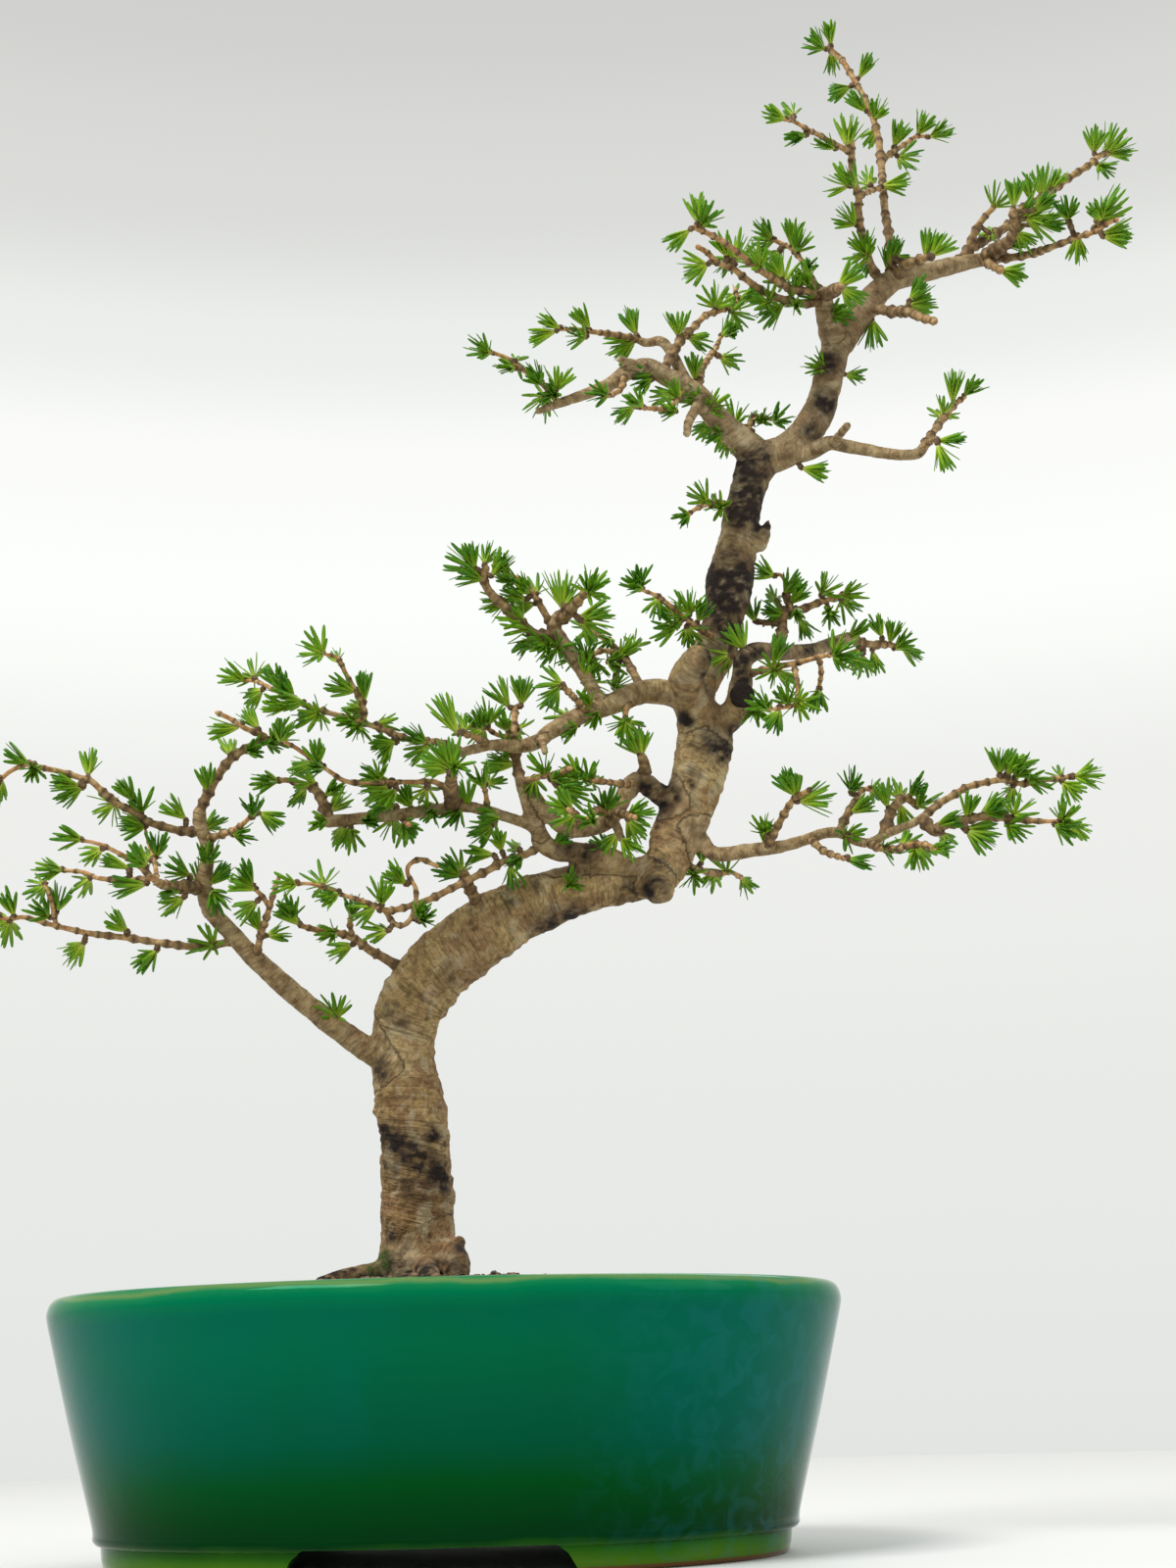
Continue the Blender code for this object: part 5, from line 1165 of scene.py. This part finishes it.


# %% Scars, knots, bulges and painted shade, each at its pixel: x, y, radius in pixels, strength
# Dark patches: scars and dark bark, and also painted shade where wood passes behind other wood: around
# (680, 810) on the limb behind the trunk, and at (724, 690) and (732, 668) on the trunk behind the burl.
DARK_PATCHES = (
    (738, 612, 32, 1.0), (752, 592, 28, 1.0), (728, 588, 20, 1.0), (742, 640, 26, 0.8),
    (745, 570, 18, 0.6), (760, 522, 24, 1.0), (776, 530, 20, 1.0), (768, 505, 26, 0.9),
    (764, 480, 24, 1.0), (774, 466, 16, 0.7), (845, 372, 14, 0.9), (842, 412, 16, 0.9),
    (830, 440, 14, 0.6), (392, 1158, 16, 0.9), (404, 1166, 16, 1.0), (418, 1175, 16, 1.0),
    (432, 1186, 16, 1.0), (446, 1198, 16, 1.0), (455, 1206, 14, 1.0), (440, 1158, 10, 1.0),
    (400, 1188, 18, 0.5), (425, 1212, 22, 0.5), (460, 988, 11, 0.35), (722, 758, 20, 0.6),
    (738, 766, 17, 0.9), (752, 748, 14, 0.8), (697, 733, 10, 1.0), (703, 737, 8, 1.0),
    (398, 1030, 12, 0.5), (410, 1042, 9, 0.4), (388, 1092, 13, 0.6), (585, 935, 18, 0.7),
    (560, 945, 22, 0.6), (680, 800, 9, 0.8), (691, 814, 5, 1.0), (707, 802, 4, 1.0),
    (672, 822, 15, 1.0), (684, 806, 12, 0.6), (660, 808, 14, 0.9), (460, 1002, 12, 0.3),
    (640, 912, 16, 0.6), (400, 1290, 14, 0.9), (440, 1300, 16, 0.9), (667, 908, 16, 0.8),
    (672, 880, 12, 0.5), (420, 1302, 18, 0.8), (400, 1262, 10, 0.6), (352, 1304, 12, 0.6),
    (471, 1275, 11, 0.8), (466, 1296, 12, 0.7), (772, 664, 16, 0.8), (800, 665, 18, 0.8),
    (830, 661, 18, 0.8), (852, 654, 12, 0.7), (578, 868, 12, 0.5), (600, 872, 12, 0.7),
    (548, 905, 7, 0.8), (520, 922, 7, 0.6), (706, 790, 10, 0.4), (724, 690, 14, 0.7),
    (732, 668, 18, 0.8), (757, 692, 13, 1.0), (756, 674, 12, 0.9), (754, 657, 11, 0.7),
)
BULGES = (
    (440, 1158, 9, 1.6), (462, 985, 10, 1.4), (466, 1282, 10, 2.2), (690, 696, 22, 1.5),
    (668, 905, 14, 2.0), (745, 596, 26, 1.4), (752, 525, 20, 1.3), (735, 578, 12, 1.4),
    (700, 742, 18, 1.2), (388, 1120, 10, 1.0), (572, 870, 10, 1.2), (655, 812, 8, 1.0),
    (764, 470, 20, 1.5), (396, 1285, 14, 1.6), (716, 836, 12, 1.4), (470, 1266, 7, 2.0),
)
MOSS_PATCHES = ((388, 1285, 14, 1.0), (378, 1292, 12, 0.9), (402, 1298, 10, 0.5))
DAMP_LINE = (440, 1283)
DAMP_FADE = 6.0
CUT_FACE = (755, 712)
CUT_ROOT = (752, 712)
CUT_RADIUS = 13.2
CUT_FACING = Vector((0.06, -1, -0.2))


def falloff(cells, px, py, radius):
    """How strongly each cell lies in a round patch seen at a pixel: 1 at its middle, 0 outside."""
    eye = np.array(CAMERA_PLACE)
    spot = sight(px, py, 0)
    ray = np.array((spot - CAMERA_PLACE).normalized())
    reach = radius * pixel_size(spot)
    depth = (cells - eye) @ ray
    aside = np.linalg.norm(cells - eye - depth[:, None] * ray, axis=1)
    met = aside < reach
    if not met.any():
        return np.zeros(len(cells))
    behind = np.clip(depth - depth[met].min() - reach * 0.6, 0, None)
    return np.clip(1.35 - 1.1 * np.hypot(aside / reach, behind / (reach * 1.6)), 0, 1)


# %% Trunk and limbs in one skin
WOOD_VOXEL = 1.05
THICK_WOOD = 8
THICK_SIDES = 20
THIN_SIDES = 14
CUT_SIDES = 24
STUB_SIDES = 10
EVENING_STEPS = 4
CUT_STANDS_OUT = 4.5
SNAG = ((772, 560, -4, 3.6), (780, 545, -4, 2.6), (784, 532, -4, 1.1))
FLARE = ((456, 1300, 6, 5), (464, 1284, 8, 4), (468, 1268, 6, 2.6))
wood_stems = [s for name, s in STEMS.items() if name == "trunk" or name in LIMBS]
blocks = []
for stem in wood_stems:
    rows = smooth_rows(stem)
    if stem.name == "trunk":
        below = Vector(rows[0][:3]) - Vector((0, 0, ROOT_DEPTH * 0.7))
        rows = [np.array((*below, rows[0][3])), *rows]
    count = THICK_SIDES if stem.radii[0] > THICK_WOOD else THIN_SIDES
    blocks.append(tube(rows, count, stem.name != "trunk"))
cut_middle = on_tree(*CUT_FACE, STEMS["stump"].at(CUT_ROOT)[0])
cut_reach = CUT_RADIUS * pixel_size(cut_middle)
cut_front = cut_middle + CUT_FACING.normalized() * (cut_reach + CUT_STANDS_OUT)
blocks.append(tube([(*cut_middle, cut_reach), (*cut_front, cut_reach * 0.97)],
                   CUT_SIDES, False))
for stub in (SNAG, FLARE):
    rows = [(*on_tree(x, y, near), radius) for x, y, near, radius in stub]
    blocks.append(tube(rows, STUB_SIDES))
wood = mesh_object("wood", *gather(blocks), BARK, TWIG_BARK)
melt = wood.modifiers.new("melt", "REMESH")
melt.mode = "VOXEL"
melt.voxel_size = WOOD_VOXEL * MM
melt.use_smooth_shade = True
even = wood.modifiers.new("even", "SMOOTH")
even.factor = 0.5
even.iterations = EVENING_STEPS
settle(wood)
melted = wood.data
print("wood", len(melted.polygons), "faces")

# %% Bark relief and broad colour
THIN_LIMB = 7.5
count = len(melted.vertices)
cells = np.empty(count * 3)
melted.vertices.foreach_get("co", cells)
cells = (cells.reshape(-1, 3) - np.array(POT_PLACE)) / MM
outward = np.empty(count * 3)
melted.vertices.foreach_get("normal", outward)
outward = outward.reshape(-1, 3)
marks = []
for stem in wood_stems:
    rows = smooth_rows(stem, 4)
    gone = 0.0
    for before, row in zip(rows, rows[1:]):
        step = row[:3] - before[:3]
        length = float(np.linalg.norm(step))
        gone += length
        marks.append((*row, *(step / max(length, 1e-6)), gone))
marks = np.array(marks)
nearest = kdtree.KDTree(len(marks))
for i, mark in enumerate(marks):
    nearest.insert(mark[:3], i)
nearest.balance()
match = np.array([nearest.find(c)[1] for c in cells])
girth = marks[match, 3]
run = marks[match, 7] + ((cells - marks[match, :3]) * marks[match, 4:7]).sum(1)
lumps = np.array([noise.noise(Vector(c) * 0.075) for c in cells])
ridges = np.array([noise.fractal(Vector((c[0], c[1], c[2] * 1.7)) * 0.24, 0.8, 2.0, 4)
                   for c in cells])
knots = np.array([noise.noise(Vector(c) * 0.16 + Vector((5, 1, 9))) for c in cells])
push = (lumps * np.clip(girth * 0.085, 0.1, 1.1) + ridges * np.clip(girth * 0.055, 0.12, 0.62)
        + np.clip(knots - 0.22, 0, 1) * np.clip(girth * 0.2, 0.4, 2.4))
# Dark bark, held as 'shade': scars, and painted shade where wood passes behind other wood, then the damp
# foot and the cut face.
shade = np.zeros(count)
for px, py, radius, strength in DARK_PATCHES:
    shade = np.maximum(shade, strength * falloff(cells, px, py, radius))
for px, py, radius, rise in BULGES:
    push += rise * falloff(cells, px, py, radius)
damp_top = on_tree(*DAMP_LINE, 10).z
damp = np.clip((damp_top - cells[:, 2]) / DAMP_FADE, 0, 0.9)
shade = np.maximum(shade, damp * np.clip(0.8 + 1.2 * lumps + 0.8 * ridges, 0, 1))
shade = np.clip(shade * 1.3 * (0.9 + 0.7 * ridges), 0, 1)
inside_cut = np.sqrt(((cells - np.array(cut_front)) ** 2).sum(1)) < cut_reach * 1.12
shade[inside_cut] = 1
push[inside_cut] *= 0.4
cells += outward * push[:, None]
melted.vertices.foreach_set("co", (cells * MM + np.array(POT_PLACE)).ravel())
moss = np.zeros(count)
for px, py, radius, strength in MOSS_PATCHES:
    moss = np.maximum(moss, strength * falloff(cells, px, py, radius))
moss = np.clip(moss * (0.8 + 1.5 * ridges), 0, 1)
thin = np.clip((THIN_LIMB - girth) / 4, 0, 1)
for label, values in (("shade", shade), ("moss", moss), ("thin", thin), ("run", run * MM)):
    hold(melted, label, values)
melted.shade_smooth()
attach(wood, "root")
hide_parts("trunk")
print("cut face", int(inside_cut.sum()), "points at", [round(v, 1) for v in cut_front])
print("relief from", round(push.min(), 2), "to", round(push.max(), 2), "mm")

# %% [markdown]
# A larch carries its needles in brushes, each from a short spur, some fifteen to a brush.
# A needle is a slim, flat, slightly bowed blade, drawn a little broad so that it shows.
# It is modelled once and set at every place by the same Geometry Nodes plan as the grit.

# %% Needle pattern
SECTIONS = ((0.0, 0.44, 0.3), (0.12, 0.64, 0.34), (0.4, 0.8, 0.34), (0.72, 0.77, 0.3),
            (0.93, 0.52, 0.22))
BOW = 0.9
points, faces, along = [], [], []
for t, half_width, half_thick in SECTIONS:
    bow = BOW * t * t
    for x, y in ((half_width, 0), (0, half_thick), (-half_width, 0), (0, -half_thick * 0.6)):
        points.append((x, y + bow, t * NEEDLE))
        along.append(t)
for i in range(len(SECTIONS) - 1):
    for k in range(4):
        j = (k + 1) % 4
        faces.append((i * 4 + k, i * 4 + j, i * 4 + 4 + j, i * 4 + 4 + k))
points.append((0, BOW, NEEDLE))
along.append(1.0)
last = len(points) - 1
faces += [(last - 4 + k, last - 4 + (k + 1) % 4, last) for k in range(4)]
faces.append((3, 2, 1, 0))
needle_shape = pattern_object("needle_pattern", points, faces, along)
NEEDLE_TREE = repeat_tree("needles on twigs", NEEDLE_GREEN)

# %% [markdown]
# Each spray is one piece: its twigs with their rough spurs, and a small dark bud at the
# foot of every brush. The brush opens like a fan, widest where the photograph looks
# straight onto it. All chance here comes from one seed, so a rebuild gives the same tree.

# %% Twigs, spurs and buds
TWIG_SIDES = 8


def knobby(rows, dice, thin=0.55):
    """A twig swells and darkens at each old spur: its new rows, and which are swollen."""
    changed, swollen = [], []
    gone = 0.0
    next_knob = dice.uniform(2, 5)
    for i, row in enumerate(rows):
        if i:
            gone += float(np.linalg.norm(row[:3] - rows[i - 1][:3]))
        swell = 0.9 + dice.uniform(-0.05, 0.05)
        if gone > next_knob:
            swell = 1.0 + dice.uniform(0.12, 0.42)
            next_knob = gone + dice.uniform(3, 9)
        changed.append(np.array((*row[:3], max(thin, row[3] * swell))))
        swollen.append(swell > 1.1)
    return changed, swollen


def bud(foot_place, root, radius, dice):
    """A short scaly spur from a twig to the foot of a brush."""
    run = foot_place - root
    if run.length < 0.8:
        run = Vector((dice.uniform(-0.4, 0.4), dice.uniform(-0.4, 0.4), 0.8))
    rows = []
    for share, width in ((0, 0.8), (0.3, 0.95), (0.45, 0.8), (0.62, 1.05), (0.75, 0.9),
                         (0.9, 1.15), (1.0, 0.85)):
        rows.append((*(root + run * share), radius * width))
    return tube(rows, TWIG_SIDES)


FAN_SHARE = 0.85
FAN_SPREAD = (20, 40)
ROSETTE_SPREAD = (50, 66)
NEEDLES_A_BRUSH = (13, 18)
GOLDEN_TURN = 2.39996


def brush(place, aim, length, dice):
    """Needles of one brush: rows of place, direction, size and tone."""
    side, up = frame_along(aim)
    opening = FAN_SPREAD if dice.random() < FAN_SHARE else ROSETTE_SPREAD
    spread = math.radians(dice.uniform(*opening))
    mood = dice.uniform(0.2, 0.8)
    rows = []
    number = dice.randint(*NEEDLES_A_BRUSH)
    for i in range(number):
        lean = spread * math.sqrt((i + 0.5) / number) * dice.uniform(0.86, 1.1)
        turn = i * GOLDEN_TURN + dice.uniform(-0.3, 0.3)
        way = aim * math.cos(lean) + (side * math.cos(turn) + up * math.sin(turn)) * math.sin(lean)
        start_at = place + way * 0.7
        stretch = length / NEEDLE * dice.uniform(0.74, 0.98) * (1 - 0.1 * lean)
        wideness = dice.uniform(0.85, 1.1)
        tone = min(1, max(0, mood + dice.gauss(0, 0.16)))
        rows.append((start_at, way, (wideness, wideness, stretch), tone))
    return rows


# %% Build every spray
by_node = {}
for stem in STEMS.values():
    by_node.setdefault(stem.node, []).append(stem)
needle_count = 0
for number, (node, stems) in enumerate(by_node.items()):
    dice = random.Random(SEED * 1000 + number)
    blocks, tones, needles = [], [], []
    for stem in stems:
        if stem.name != "trunk" and stem.name not in LIMBS:
            rows, swollen = knobby(smooth_rows(stem, 1.8), dice)
            blocks.append(tube(rows, TWIG_SIDES))
            for i in range(len(blocks[-1][0]) // TWIG_SIDES):
                i = min(i, len(rows) - 1)
                young = min(0.98, max(0.35, 1.25 - float(rows[i][3]) / 2.3))
                young *= 0.78 + 0.22 * i / len(rows)
                tones += [0.08 if swollen[i] else young + dice.uniform(-0.08, 0.08)] * TWIG_SIDES
        for place, aim, length, on_stem in tufts_of(stem):
            size = dice.uniform(1.15, 1.5)
            blocks.append(bud(place, on_stem, size, dice))
            tones += [dice.uniform(0.0, 0.3) for _ in blocks[-1][0]]
            needles += brush(place, aim, length, dice)
    name = "trunk_brushes" if node == "trunk" else "leaves_" + node
    spray = mesh_object(name, *gather(blocks), TWIG_BARK, NEEDLE_GREEN)
    hold(spray.data, "tone", tones)
    set_repeats(spray, NEEDLE_TREE, needles, needle_shape, SEED + number)
    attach(spray, "root")
    if node != "trunk":
        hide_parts("spray_" + node)
    needle_count += len(needles)
print(needle_count, "needles on", len(by_node), "pieces")
for pattern in (needle_shape, grain_shape):
    bpy.data.objects.remove(pattern, do_unlink=True)

# %% [markdown]
# Under the soil a square of plastic mesh covers each drain hole. The solid model already
# has its open cells, so the solids stay and only take a finish.

# %% Drain screens
def plain(name, colour, roughness):
    """A finish with one colour all over."""
    made, tree, shader, place = start(name, roughness)
    shader.inputs["Base Color"].default_value = linear(colour)
    return made


SCREEN_PLASTIC = plain("black_mesh_plastic", "#17181A", 0.55)
for name in ("screen_left", "screen_right"):
    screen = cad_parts[name]
    screen.data.materials.clear()
    screen.data.materials.append(SCREEN_PLASTIC)

# %% [markdown]
# The camera stands where the photograph was taken: low, close, looking slightly up. Its
# place was worked out from the oval of the pot's rim. The light is soft and bright: a
# broad lamp above and in front, weaker ones on the right and behind, and a pale world.

# %% Camera, floor and lights
FLOOR_RADIUS = 1.3
camera_data = bpy.data.cameras.new("camera")
camera_data.lens = LENS
camera_data.sensor_width = SENSOR
camera = show("camera", camera_data)
turn = Matrix((RIGHT, UP, -FORWARD)).transposed().to_4x4()
camera.matrix_world = Matrix.Translation(CAMERA_PLACE * MM + POT_PLACE) @ turn
bpy.context.scene.camera = camera


def lamp(name, place, height, size, power):
    """A rectangular lamp that faces the tree's axis at a height."""
    data = bpy.data.lights.new(name, "AREA")
    data.shape = "RECTANGLE"
    data.size, data.size_y = size
    data.energy = power
    obj = show(name, data)
    obj.location = place
    facing = Vector((0, 0, height)) - Vector(place)
    obj.rotation_euler = facing.to_track_quat("-Z", "Y").to_euler()


floor_mesh = bpy.data.meshes.new("floor")
edge = [(FLOOR_RADIUS * math.cos(t), FLOOR_RADIUS * math.sin(t), 0) for t in turns]
floor_mesh.from_pydata(edge, [], [tuple(range(len(edge)))])
floor_mesh.materials.append(plain("pale_floor", "#E6E6E4", 0.75))
floor = show("floor", floor_mesh)
world = bpy.data.worlds.new("pale_room")
bpy.context.scene.world = world
world.use_nodes = True
sky = world.node_tree
way = add(sky, "ShaderNodeSeparateXYZ", {0: add(sky, "ShaderNodeTexCoord").outputs["Generated"]})
rise = maths(sky, "ADD", times(sky, way.outputs[2], 0.9), 0.1, clamp=True)
wall_light = ramp(sky, rise, ((0.0, "#E0E2E0"), (0.2, "#E8EAE7"), (0.33, "#EEEFEC"),
                              (0.42, "#FDFFFC"), (0.47, "#FBFCFA"), (0.51, "#EDEFEC"),
                              (0.56, "#DBDCD9"), (0.63, "#CFD0CD")), True)
room = ramp(sky, plus(sky, times(sky, way.outputs[1], 0.5), 0.5),
            ((0.2, "#B4B8B8"), (0.6, "#FFFFFF")), True)
seen = add(sky, "ShaderNodeLightPath").outputs["Is Camera Ray"]
sky.links.new(mix(sky, seen, mix(sky, 1.0, wall_light, room, "MULTIPLY"), wall_light),
              sky.nodes["Background"].inputs["Color"])
lamp("key", (-0.9, -1.1, 1.9), 0.3, (0.9, 0.7), 40)
lamp("fill", (1.5, -0.9, 0.9), 0.3, (1.0, 1.0), 6)
lamp("back", (0.6, 1.6, 1.8), 0.35, (1.2, 0.8), 10)
bpy.context.scene.view_settings.view_transform = "Standard"
